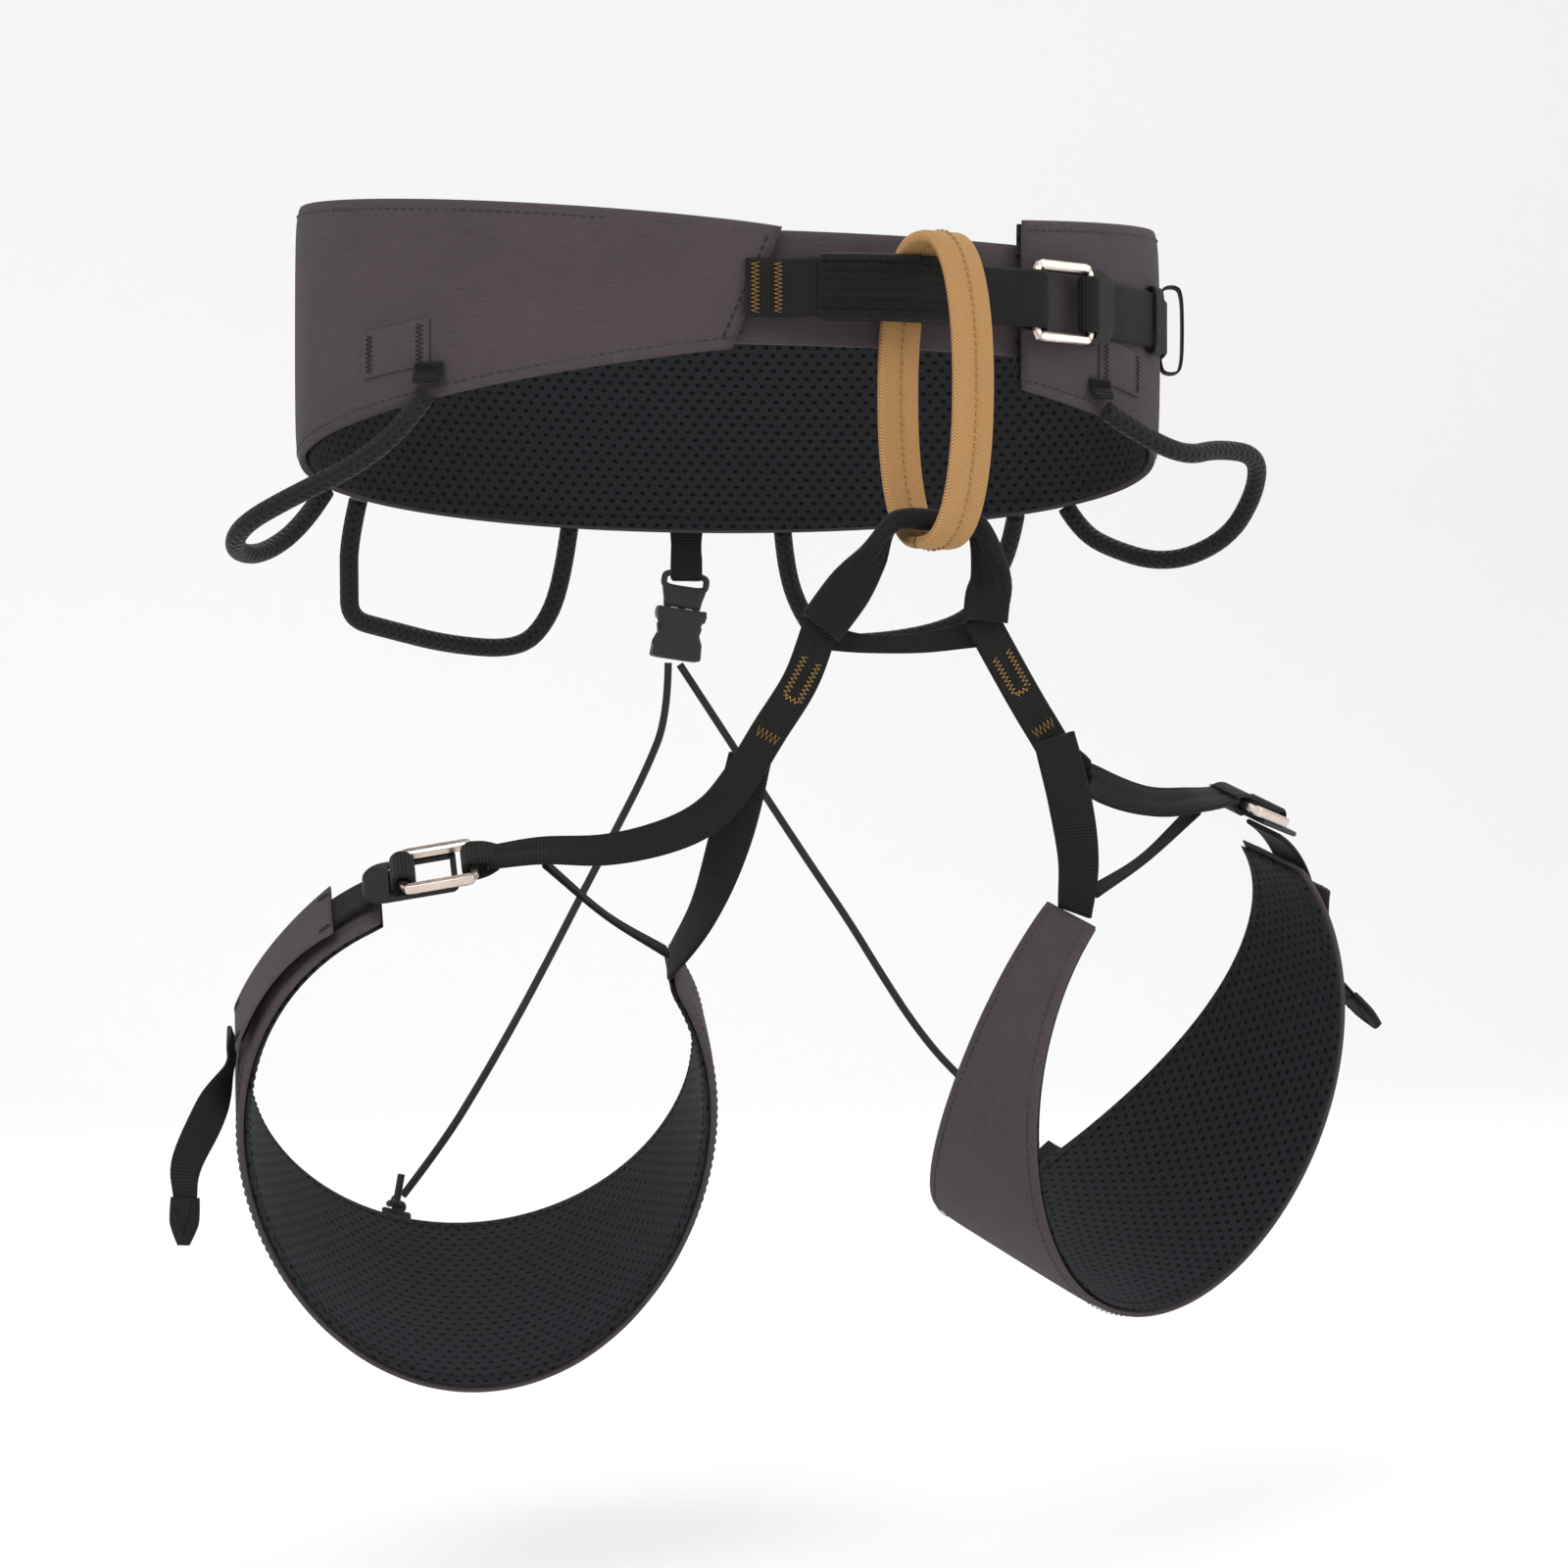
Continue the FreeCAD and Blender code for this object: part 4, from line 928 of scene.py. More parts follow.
class HARNESS_OT_waist_webbing(bpy.types.Operator):
    """Waist webbing with its tie-in sleeve, bar tacks, free tail and keepers"""
    bl_idname = "harness.waist_webbing"
    bl_label = "Waist webbing"

    def execute(self, context):
        ring, (lift, tail_lift) = waist_ring(), waist_lifts()
        web, width = sizes().webbing_thick / MM, sizes().waist_webbing / MM
        buckle = waist_buckle_matrix()
        route = waist_route()
        strap(
            "waist_strap", [(p, UP, width) for p in route], web, finish("webbing"), "root",
            ("waist_webbing",))
        strap(
            "waist_strap_fold", in_buckle(buckle, fold_route(-BAR_PLACE, 1, 6.0), width), web * 0.85,
            finish("webbing"), "root", step=0.9)
        sleeve = route[3:6]
        start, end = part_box("tie_in_sleeve")
        strap(
            "tie_in_cover", [(p, UP, (end.z - start.z) / MM) for p in sleeve], 6.0,
            finish("fine_webbing"), "root", ("tie_in_sleeve",),
            ribs=7, rib_depth=0.7, cells=60)
        for number, margin in enumerate((4.2, 1.2)):
            row = []
            for sign in (1, -1):
                height = sign * ((end.z - start.z) / MM / 2 - margin - 1.5)
                line = through([V(p) + UP * height for p in sleeve], lambda i: 12)
                line = [p + V((0, -2.9, 0)) for p in line]
                row += stitch_runs(line, [V((0, -1, 0))] * len(line), 3.0, 0.35)
            threads(
                f"cover_stitching_{number}", row, 0.24, finish("black_thread"), "root")

        runs = []
        for x in (-12.0, -4.5):
            angle = front_angle(x)
            centre = ring_point(ring, angle)
            runs.append(zigzag(
                centre, UP, ring_tangent(ring, angle), width - 3.0, 2.6, 0.7,
                ring_normal(ring, angle), lift + web / 2 + (0.55 if x < -10 else 1.5)))
        threads(
            "waist_tacks", runs, 0.36, finish("gold_thread"), "root",
            ("waist_bar_tacks",))

        tail = [
            buckle @ V((BAR_PLACE + 4.0, 0, -PLATE_DROP - 0.2)),
            buckle @ V((BAR_PLACE + 10.0, 0, -PLATE_DROP - 1.6)),
        ]
        tail += [ring_point(ring, angle, tail_lift) for angle in (122, 112, 101, 90, 80)]
        strap(
            "waist_tail", [(p, UP, width) for p in tail], web, finish("fine_webbing"), "root",
            ("waist_tail_webbing",))
        for label, angle, wide, tall, out in (
            ("waist_keeper", 113.0, 9.0, 25.0, 1.6), ("waist_end_keeper", 97.0, 7.0, 33.0, 6.0)):
            first = sizes().belt_thick / MM + 0.3 + 0.4
            last = tail_lift + web / 2 + out - 0.2
            loop = []
            normal, middle = ring_normal(ring, angle), ring_point(ring, angle)
            for i in range(16):
                turn = 2 * pi * i / 16
                up = (tall / 2 - 0.5) * squared(sin(turn), 0.6)
                share = 0.5 + 0.5 * squared(cos(turn), 0.5)
                loop.append((middle + UP * up + normal * (first + (last - first) * share),
                             ring_tangent(ring, angle), wide))
            strap(
                f"{label}_band", loop, 0.8, finish("fine_webbing"), "root", (label,),
                closed=True)
        return {"FINISHED"}


# ------------------------------------------------------------------ buckles


def buckle_frame(name, matrix, width, body, node):
    """A frame swept round a rounded rectangle, with facetted rails."""
    half_long, half_wide, corner = 12.0, width / 2 - 1.6, 2.6
    path = []
    corners = ((1, 1, 0), (-1, 1, 90), (-1, -1, 180), (1, -1, 270))
    for sx, sy, turn in corners:
        middle = V((sx * (half_long - corner), sy * (half_wide - corner), 0))
        for k in range(7):
            angle = radians(turn + 15 * k)
            out = V((cos(angle), sin(angle), 0))
            path.append((middle + out * corner, out))
    points, marks = [], []
    facets = ((1.0, 0.55), (0.72, 1.0), (-0.5, 1.0), (-1.0, 0.6),
              (-1.0, -0.6), (-0.5, -1.0), (0.72, -1.0), (1.0, -0.55))
    for centre, out in path:
        rail = abs(out.y) > 0.75
        reach = 1.75 if rail else 1.35
        tall = 1.75 if rail else 1.35
        for a, b in facets:
            points.append(matrix @ (centre + out * (a * reach) + UP * (b * tall)))
            marks.append((centre.x / 10, b))
    faces = grid_faces(len(path), len(facets), True)
    piece = make_piece(
        name, points, faces, finish("rail"), body, (node,), marks, False)
    soften(piece, 0.00022, 3, 18)
    return piece


def buckle_plate(name, matrix, width, slot_width, body, node):
    """The black plate under the frame: a rounded end, a slot and worn edges."""
    low_x, high_x = -6.0, 26.0
    half, thick = width / 2 - 0.5, 1.8
    outer, inner = [], []
    round_end = width * 0.30
    for k in range(9):
        turn = radians(-90 + 90 * k / 8)
        outer.append((
            high_x - round_end + round_end * cos(turn), -half + round_end + round_end * sin(turn)))
    for k in range(9):
        turn = radians(90 * k / 8)
        outer.append((
            high_x - round_end + round_end * cos(turn), half - round_end + round_end * sin(turn)))
    outer += [(low_x + 1.2, half), (low_x, half - 1.2), (low_x, -half + 1.2), (low_x + 1.2, -half)]
    reach, wide = (low_x + 2.0, low_x + 23.0), slot_width / 2 + 0.8
    sharp = len(outer)
    for x, y in outer:
        inner.append((min(max(x, reach[0]), reach[1]), min(max(y, -wide), wide)))
    points, faces = [], []
    for share, level in ((0.5, -0.5), (0.0, -0.22), (0.0, 0.22), (0.5, 0.5)):
        for x, y in outer:
            centre_x = (low_x + high_x) / 2
            out = V((x - centre_x, y, 0)).normalized() * share
            points.append(matrix @ V((x - out.x, y - out.y, -2.8 + thick * level)))
    for level in (0.5, -0.5):
        for x, y in inner:
            points.append(matrix @ V((x, y, -2.8 + thick * level)))
    for ring_index in range(6):
        a, b = ring_index * sharp, ((ring_index + 1) % 6) * sharp
        for k in range(sharp):
            n = (k + 1) % sharp
            faces.append((a + k, a + n, b + n, b + k))
    piece = make_piece(name, points, faces, finish("plate"), body, (node,), None, False)
    piece.data.validate()
    merge = piece.modifiers.new("join_corners", "WELD")
    merge.merge_threshold = 0.00002
    soften(piece, 0.00015, 2, 25)
    return piece


class HARNESS_OT_buckles(bpy.types.Operator):
    """Three slide buckles: champagne frames over black plates, with webbing wraps"""
    bl_idname = "harness.buckles"
    bl_label = "Buckles"

    def execute(self, context):
        web = sizes().webbing_thick / MM
        waist_width, leg_width = sizes().waist_webbing / MM, sizes().leg_webbing / MM
        rows = [("waist", waist_buckle_matrix(), WAIST_FRAME_WIDTH, waist_width, "root")]
        for side, leg in LEGS.items():
            rows.append((
                f"{side}_leg", leg_buckle_matrix(leg), LEG_FRAME_WIDTH, leg_width, f"{side}_leg"))
        for label, matrix, wide, webbing, fixed in rows:
            moving = f"{label}_buckle"
            buckle_frame(f"{label}_frame", matrix, wide, moving, f"{label}_buckle_frame")
            buckle_plate(
                f"{label}_plate", matrix, wide, webbing, fixed, f"{label}_buckle_plate")
            strap(
                f"{label}_wrap", in_buckle(matrix, wrap_route(BAR_PLACE), webbing - 0.4), web * 0.85,
                finish("webbing"), moving, (f"{label}_adjuster_wrap",), step=0.9)
        return {"FINISHED"}


# ------------------------------------------------------------------ belay loop and bridge


class HARNESS_OT_belay_loop(bpy.types.Operator):
    """Sewn belay loop of gold twill webbing with a stitched middle"""
    bl_idname = "harness.belay_loop"
    bl_label = "Belay loop"

    def execute(self, context):
        low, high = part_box("belay_loop")
        centre = (low + high) / 2 / MM
        tall = (high.z - low.z) / MM
        half_w, half_h, thick, band = 24.5 - 2.2, tall / 2 - 2.2, 4.2, 16.0
        turn = Matrix.Rotation(radians(-70.5), 4, "Z")
        place = Matrix.Translation(centre) @ turn
        side = axis_of(place, BACK)
        loop, count = [], 48
        for i in range(count):
            angle = 2 * pi * i / count - pi / 2
            c, s = cos(angle), sin(angle)
            x = half_w * squared(c, 0.78)
            z = half_h * squared(s, 0.92)
            loop.append((place @ V((x, 0, z)), side, band))
        strap(
            "belay_webbing", loop, thick, finish("belay"), "belay_loop",
            ("belay_loop",), closed=True, step=1.6, cells=24)
        path = through([p for p, _, _ in loop], lambda i: 4, True)
        along = tangents(path, True)
        runs = []
        for sign in (1, -1):
            normals = [a.cross(side) * sign for a in along]
            line = [p + n * (thick / 2 - 0.1) for p, n in zip(path, normals)]
            runs += stitch_runs(line + line[:1], normals + normals[:1], 2.6, 0.5)
        threads("belay_stitching", runs, 0.34, finish("tan_thread"), "belay_loop")
        return {"FINISHED"}


BELAY_X, BELAY_Y = 46.0, -108.5
FRONT_Y = -105.0
CREST = -81.8
LAP_GAP = 3.8
LAP_LENGTH = 3.0


def facing(start, end):
    """Width direction of a strap that shows its flat side to the front."""
    return BACK.cross((end - start).normalized()).normalized()


class HARNESS_OT_leg_bridge(bpy.types.Operator):
    """Ribbed sleeve that hangs in the belay loop and carries both leg loops"""
    bl_idname = "harness.leg_bridge"
    bl_label = "Leg bridge"

    def execute(self, context):
        wide = sizes().leg_webbing / MM
        right, left = LEGS["right"]["joint"], LEGS["left"]["joint"]
        right_knee = V((BELAY_X - 21.5, FRONT_Y - 1, CREST - 10.0))
        left_knee = V((BELAY_X + 20.0, FRONT_Y - 1, CREST - 13.5))
        right_face, left_face = facing(right, right_knee), facing(left_knee, left)
        y = BELAY_Y + 0.5
        stations = [
            (right, right_face, wide),
            (right + (right_knee - right) * 0.55, right_face, wide),
            (right_knee, right_face * 0.8 + BACK * 0.6, wide - 2, 4.8),
            (V((BELAY_X - 14.0, y, CREST + 2.6)), BACK, wide - 4, 6.4),
            (V((BELAY_X, y, CREST + 3.4)), BACK, wide - 4, 7.0),
            (V((BELAY_X + 14.0, y, CREST + 2.5)), BACK, wide - 4, 6.4),
            (left_knee, BACK * 0.6 + left_face * 0.8, wide - 2, 4.8),
            (left + (left_knee - left) * 0.4, left_face, wide),
            (left, left_face, wide),
        ]
        strap(
            "bridge_sleeve", stations, 3.8, finish("fine_webbing"), "root",
            ("leg_bridge",), ribs=4, rib_depth=0.55, cells=40)
        low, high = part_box("cross_strap")
        y = (low.y + high.y) / 2 / MM
        strap(
            "bridge_cross", [
                (V((low.x / MM - 2, y, -117.5)), UP, 9.0), (V((24.0, y, -119.6)), UP, 6.5),
                (V((44.0, y, -119.2)), UP, 7.0), (V((high.x / MM + 1, y, -116.0)), UP, 9.5)],
            1.6, finish("fine_webbing"), "root", ("cross_strap",))
        return {"FINISHED"}


# ------------------------------------------------------------------ leg loops

LEGS = {
    "right": {
        "centre": V((-97, -23, -279)),
        "turns": (-7, -58, -3),
        "ring": (82.0, 92.0),
        "bow": -8.0,
        "inner": 1,
        "joint": V((7.6, -105.0, -114.6)),
        "pad_ends": (-156, 124),
        "buckle": -171.5,
        "garage": (-146, -110),
        "split": V((-18.7, -98, -165.4)),
        "riser_layer": 1,
        "upper": [(0.30, (1.5, 2.0, -4.0)), (0.68, (1.0, 1.5, -1.5))],
        "front": [
            (0.17, (5.0, 1.5, -7.0)),
            (0.36, (7.0, 2.0, -9.5)),
            (0.60, (6.0, 1.0, -8.0)),
            (0.82, (3.0, -3.0, -2.5)),
        ],
        "riser": [(0.33, (2.0, -4.0, -3.0)), (0.66, (2.0, -3.0, -5.0))],
        "tab": -18,
        "tail_flat": V((0.62, -0.7, -0.35)),
        "tail": [
            (V((-182.5, -25.0, -263.0)), 13.0),
            (V((-190.5, -29.0, -281.0)), 12.0),
            (V((-198.0, -33.0, -297.0)), 12.0),
            (V((-198.5, -34.0, -309.0)), 11.0),
        ],
        "cord": [
            V((-7.5, 92.0, -141.0)), V((-16.5, 89.5, -162.0)), V((-28.5, 86.0, -184.0)),
            V((-41.5, 82.5, -207.0)), V((-54.5, 79.5, -231.0)), V((-68.0, 76.5, -255.0)),
            V((-82.5, 73.0, -279.0)), V((-97.5, 69.5, -302.0)),
        ],
    },
    "left": {
        "centre": V((141, -28, -261)),
        "turns": (-11, -58, -44),
        "ring": (86.0, 88.0),
        "bow": 8.0,
        "inner": -1,
        "joint": V((64.5, -105.0, -112.0)),
        "pad_ends": (127, -151),
        "buckle": 145,
        "garage": (114, 89),
        "split": V((94.4, -98, -158.7)),
        "riser_layer": -1,
        "upper": [(0.35, (1.0, 1.5, -2.5)), (0.70, (1.0, 1.0, -3.0))],
        "front": [
            (0.22, (0.0, 1.0, -6.0)),
            (0.48, (3.0, 2.0, -8.5)),
            (0.76, (3.0, 0.0, -4.5)),
        ],
        "riser": [(0.36, (2.5, -1.5, 0.0)), (0.70, (3.0, -1.5, 0.0))],
        "tab": 12,
        "tail_flat": V((-0.5, 0.78, 0.38)),
        "tail": [
            (V((226.5, 9.5, -235.0)), 13.0),
            (V((233.0, 9.0, -241.0)), 12.0),
            (V((240.0, 8.5, -248.0)), 11.0),
        ],
        "cord": [
            V((9.5, 92.0, -139.0)), V((21.5, 89.0, -158.0)), V((34.5, 86.0, -178.5)),
            V((48.0, 83.0, -199.5)), V((62.0, 80.0, -220.5)), V((74.0, 76.5, -241.0)),
            V((86.5, 73.0, -261.0)), V((101.0, 69.0, -279.0)),
        ],
    },
}
PAD_BACK, PAD_END, PAD_LINING, PAD_CLOTH = 93.0, 21.0, 3.4, 1.4
WEB_LIFT, GARAGE_OUT, LEG_BUCKLE_LIFT = 3.9, 6.0, 8.9
TAIL_GAP, TAIL_RISE = 3.5, 3.2
TAB_REACH = 8.0
KNOT_RADIUS = 4.2


def leg_place(leg):
    """The leg loop's own axes, whose Z is the axis of the thigh."""
    yaw, pitch, roll = (radians(a) for a in leg["turns"])
    turn = Matrix.Rotation(yaw, 4, "Z") @ Matrix.Rotation(pitch, 4, "X") @ Matrix.Rotation(roll, 4, "Y")
    return Matrix.Translation(leg["centre"]) @ turn


def pad_middle(leg, angle):
    return -leg["bow"] * sin(radians(angle)) ** 2


def pad_half(angle):
    """Half the pad's height at a ring angle."""
    share = abs(cos(radians(angle) / 2)) ** 3
    return (PAD_END + (PAD_BACK - PAD_END) * share) / 2


def ring_matrix(leg, angle, lift, height=0.0):
    """Axes on the ring: X runs outward round the thigh, Z away from it."""
    ring = leg["ring"]
    local = axes_matrix(
        ring_point(ring, angle, lift, pad_middle(leg, angle) + height),
        ring_tangent(ring, angle) * leg["inner"], ring_normal(ring, angle))
    return leg_place(leg) @ local


def leg_buckle_matrix(leg):
    return ring_matrix(leg, leg["buckle"], LEG_BUCKLE_LIFT)


def leg_strap_route(leg):
    """The strap from the bridge to the leg buckle, and how many points lie above its split."""
    joint, split = leg["joint"], leg["split"]
    down = (split - joint).normalized()
    top = joint - down * LAP_LENGTH + V((0, LAP_GAP - 0.6, 0))
    front_end = leg_buckle_matrix(leg) @ V((-BAR_PLACE - WRAP_MIDDLE - 2.0, 0, 0.4))
    upper = between(top, split, leg["upper"])
    lower = between(split, front_end, leg["front"])
    return upper + lower[1:], len(upper)


class HARNESS_OT_leg_pads(bpy.types.Operator):
    """Padded leg loops: outer cloth, spacer mesh lining and edge seams"""
    bl_idname = "harness.leg_pads"
    bl_label = "Leg pads"

    def execute(self, context):
        for side, leg in LEGS.items():
            place, ring, body = leg_place(leg), leg["ring"], f"{side}_leg"
            first, last = leg["pad_ends"]

            def edges(angle, spare=0.0):
                middle, half = pad_middle(leg, angle), pad_half(angle)
                return middle - half + spare, middle + half - spare

            shell = panel(
                f"{side}_pad_outer", place, ring, lambda v: first, lambda v: last, edges,
                -1.6, PAD_CLOTH, 0.2, finish("cloth"), body, (f"{side}_pad_shell",),
                (150, 22), 4.0, 0.3, 0.15)
            panel(
                f"{side}_pad_inner", place, ring, lambda v: first, lambda v: last,
                lambda a: edges(a, 0.8), -PAD_LINING, -1.2, 0.0, finish("lining"), body,
                (f"{side}_pad_liner",), (150, 22), 4.6, 0.4, 0.1)
            angles = [first + (last - first) * (0.012 + 0.976 * i / 240) for i in range(241)]
            outside = edge_stitches(place, ring, angles, PAD_CLOTH - 0.1, edges, 3.2, 0.1)
            inside = edge_stitches(
                place, ring, angles, -PAD_LINING + 0.15, edges, 4.6, 0.25, inward=True)
            threads(
                f"{side}_pad_stitching", outside, 0.2, finish("cloth_thread"), body)
            threads(
                f"{side}_lining_stitching", inside, 0.24, finish("black_thread"), body)

            matrix = ring_matrix(leg, leg["tab"], PAD_CLOTH + 1.3, pad_half(leg["tab"]))
            side_way = axis_of(matrix, ALONG)
            up = -leg["inner"]
            strap(
                f"{side}_tab", [(matrix @ V((0, up * s, z)), side_way, 11.5) for s, z in (
                    (-8, 0), (-3, 0), (2, 0.1), (6, 0.3), (8.5, 0))],
                1.8, finish("fine_webbing"), body, (f"{side}_riser_tab",))
            centre = matrix @ V((0, up * -4.5, 1.1))
            tack = zigzag(centre, side_way, axis_of(matrix, BACK), 9.0, 2.6, 0.7,
                          axis_of(matrix, UP), 0.1)
            threads(f"{side}_tab_tack", [tack], 0.3, finish("black_thread"), body)
        return {"FINISHED"}


class HARNESS_OT_leg_straps(bpy.types.Operator):
    """Straps from the bridge to the leg buckles, twisted risers, elastic keepers and bar tacks"""
    bl_idname = "harness.leg_straps"
    bl_label = "Leg straps"

    def execute(self, context):
        wide, web = sizes().leg_webbing / MM, sizes().webbing_thick / MM
        narrow = sizes().leg_strap / MM
        for side, leg in LEGS.items():
            body, place = f"{side}_leg", leg_place(leg)
            buckle = leg_buckle_matrix(leg)
            across_ring = axis_of(place, UP)
            route, upper_count = leg_strap_route(leg)
            count = len(route) - 1
            stations = []
            for i, point in enumerate(route):
                flat = facing(route[max(i - 1, 0)], route[min(i + 1, count)])
                if flat.dot(across_ring) < 0:
                    flat = flat * -1
                share = max(0.0, (i - upper_count + 1) / (count - upper_count + 1))
                stations.append((point, flat * (1 - share) + across_ring * share, narrow))
            main = strap(
                f"{side}_strap", stations, 2.5, finish("webbing"), None,
                ribs=2, rib_depth=0.35, cells=24, wave=0.12)
            joint = leg["joint"]
            down = (leg["split"] - joint).normalized()
            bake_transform(main)
            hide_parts(f"{side}_leg_strap")
            strap(
                f"{side}_strap_fold", in_buckle(buckle, fold_route(-BAR_PLACE, 1, 4.5), narrow),
                web * 0.85, finish("webbing"), body, step=0.9)

            medial = leg["pad_ends"][1]
            end_angle = medial + leg["inner"]
            end = place @ ring_point(leg["ring"], end_angle, -1.0, pad_middle(leg, end_angle))
            layer = V((0, leg["riser_layer"] * (1.3 + web / 2 + 0.9), 0))
            riser = between(leg["split"] - down * 9 + layer, end, leg["riser"])
            start_side = facing(riser[0], riser[1])
            if start_side.dot(across_ring) < 0:
                start_side = start_side * -1
            rows = []
            for i, point in enumerate(riser):
                share = i / (len(riser) - 1)
                rows.append((point, start_side * (1 - share) + across_ring * share, wide - 1.0))
            strap(f"{side}_riser_strap", rows, web, finish("webbing"), body,
                  (f"{side}_riser_webbing",))

            upper = route[:upper_count]
            flat = facing(joint, leg["split"])
            front = flat.cross(down).normalized()
            if front.y > 0:
                front = front * -1
            runs = []
            for offset in (-2.7, 2.7):
                centre = upper[1] + flat * offset
                runs.append(zigzag(centre, down, flat, 15.0, 2.0, 0.8, front, 1.45))
            runs.append(zigzag(upper[1] + down * 7.4, flat, down, 5.0, 1.6, 0.8, front, 1.45))
            runs.append(zigzag(upper[2] + down * 1.0, flat, down, 8.0, 3.2, 0.8, front, 1.45))
            threads(f"{side}_strap_tacks", runs, 0.3, finish("gold_thread"), body,
                    (f"{side}_strap_bar_tacks",))

            keep_angle = medial + leg["inner"] * 6
            keep_start = route[-2] + V((0, 2.5, -4))
            keep_end = place @ ring_point(leg["ring"], keep_angle, 2.6, pad_middle(leg, keep_angle) - 3)
            keep_middle = (keep_start + keep_end) / 2 + V((0, 0, -2.5))
            strap(f"{side}_keeper", [(p, across_ring, w) for p, w in (
                (keep_start, 6.0), (keep_middle, 4.4), (keep_end, 6.5))], 1.6,
                finish("fine_webbing"), body, (f"{side}_elastic_keeper",))
        return {"FINISHED"}


class HARNESS_OT_leg_adjusters(bpy.types.Operator):
    """Adjusting webbing, its garage sleeves, the free tails and their folded tips"""
    bl_idname = "harness.leg_adjusters"
    bl_label = "Leg adjusters"

    def execute(self, context):
        wide, web = sizes().leg_webbing / MM, sizes().webbing_thick / MM
        for side, leg in LEGS.items():
            place, ring, inner, body = leg_place(leg), leg["ring"], leg["inner"], f"{side}_leg"
            start, end = leg["garage"]
            middle = pad_middle(leg, (start + end) / 2)
            first = leg["buckle"] + inner * degrees(8.0 / ring_speed(ring, leg["buckle"]))
            across = axis_of(place, UP)
            stations = []
            for i in range(13):
                angle = first + (end - first) * i / 12
                stations.append((place @ ring_point(ring, angle, WEB_LIFT, middle), across, wide))
            strap(f"{side}_adjuster", stations, web, finish("webbing"), body,
                  (f"{side}_adjusting_webbing",))

            half = wide / 2 + CLEAR + 3.2

            def flare(angle):
                share = abs(angle - start) / abs(end - start)
                return half + 3.0 * (2 * share - 1) ** 2

            stations = []
            for i in range(11):
                angle = start + (end - start) * i / 10
                stations.append((place @ ring_point(ring, angle, GARAGE_OUT - 0.5, middle), across,
                                 2 * flare(angle)))
            strap(f"{side}_garage", stations, 1.1, finish("cloth"), body,
                  (f"{side}_garage_sleeve",))
            runs = []
            for angle in (start + inner * 1.6, end - inner * 1.6):
                matrix = axes_matrix(
                    place @ ring_point(ring, angle, GARAGE_OUT + 0.1, middle),
                    axis_of(place, ring_tangent(ring, angle)), axis_of(place, ring_normal(ring, angle)))
                for sign in (1, -1):
                    runs.append(zigzag(
                        matrix @ V((0, sign * (half - 2.2), 0)), axis_of(matrix, ALONG),
                        axis_of(matrix, BACK), 5.0, 2.0, 0.7, axis_of(matrix, UP), 0.1))
            threads(f"{side}_garage_tacks", runs, 0.28, finish("black_thread"), body)

            leave = place @ ring_point(ring, end, WEB_LIFT + TAIL_RISE, middle)
            ahead = place.to_3x3() @ (ring_tangent(ring, end) * inner)
            rows = [(leave + ahead * TAIL_GAP, across, wide - 2.0)]
            for i, (point, width) in enumerate(leg["tail"]):
                rows.append((point, across.lerp(leg["tail_flat"], (i + 1) / len(leg["tail"])), width))
            strap(f"{side}_tail", rows, 1.5, finish("webbing"), f"{side}_tail",
                  (f"{side}_tail_webbing",))
            last, before = leg["tail"][-1][0], leg["tail"][-2][0]
            run = (last - before).normalized()
            across = leg["tail_flat"] - run * leg["tail_flat"].dot(run)
            across = across.normalized()
            tip = [(last - run * 1.0, across, 12.5), (last + run * 4, across, 13.0),
                   (last + run * 8, across, 12.4), (last + run * 12, across, 8.5),
                   (last + run * 15.2, across, 4.5)]
            strap(f"{side}_tip", tip, 3.2, finish("fine_webbing"), f"{side}_tail",
                  (f"{side}_tail_tip",), step=1.2)
            face = run.cross(across).normalized()
            seam = []
            for sign in (1, -1):
                line = [last + run * 1 + across * 4.4 + face * (1.7 * sign),
                        last + run * 12 + across * 1.0 + face * (1.6 * sign),
                        last + run * 1 - across * 4.4 + face * (1.7 * sign)]
                seam += stitch_runs(line, [face * sign] * 3, 2.0, 0.25)
            threads(
                f"{side}_tip_stitching", seam, 0.22, finish("black_thread"), f"{side}_tail")
        return {"FINISHED"}


# ------------------------------------------------------------------ gear loops

GEAR_LOOPS = {
    "right_front_gear_loop": (-131, -64, [
        (0.10, (4, -3, -8)), (0.25, (16, -8, -17)), (0.41, (33, -12, -23)),
        (0.58, (45, -15, -28)), (0.76, (42, -14, -31)), (0.90, (27, -10, -28)),
        (0.98, (9, -4, -14)),
    ]),
    "left_front_gear_loop": (131, 61, [
        (0.04, (13, -3, -7.5)), (0.15, (30, -8, -11)), (0.30, (43, -12, -3)),
        (0.44, (61, -14, 0)), (0.56, (63, -12, -10)), (0.66, (55, -9, -24)),
        (0.80, (34, -8, -29)), (0.94, (12, -4, -17)), (1.00, (4, -1, -7)),
    ]),
    "right_rear_gear_loop": (-55, -17, [
        (0.00, (3, 5, -15)), (0.03, (5, 8, -30)), (0.06, (7, 11, -43)),
        (0.24, (8, 12, -45)), (0.55, (9, 13, -48.5)), (0.86, (7, 9, -48)),
        (0.97, (5, 6, -36)), (1.00, (2, 3, -18)),
    ]),
    "left_rear_gear_loop": (51, 14, [
        (0.05, (4, 6, -12)), (0.13, (6, 9, -24)), (0.22, (8, 12, -36)),
        (0.38, (9, 14, -42)), (0.62, (9, 14, -44.5)), (0.88, (8, 11, -44)),
        (0.97, (6, 8, -31)), (1.00, (2, 3, -15)),
    ]),
}


def gear_end(angle):
    """Where a gear loop leaves the lower edge of the belt."""
    lift = sizes().belt_thick / MM + CLEAR + sizes().gear_loop_thick / MM / 2
    return ring_point(waist_ring(), angle, lift, belt_edges(angle)[0] + 1.0)


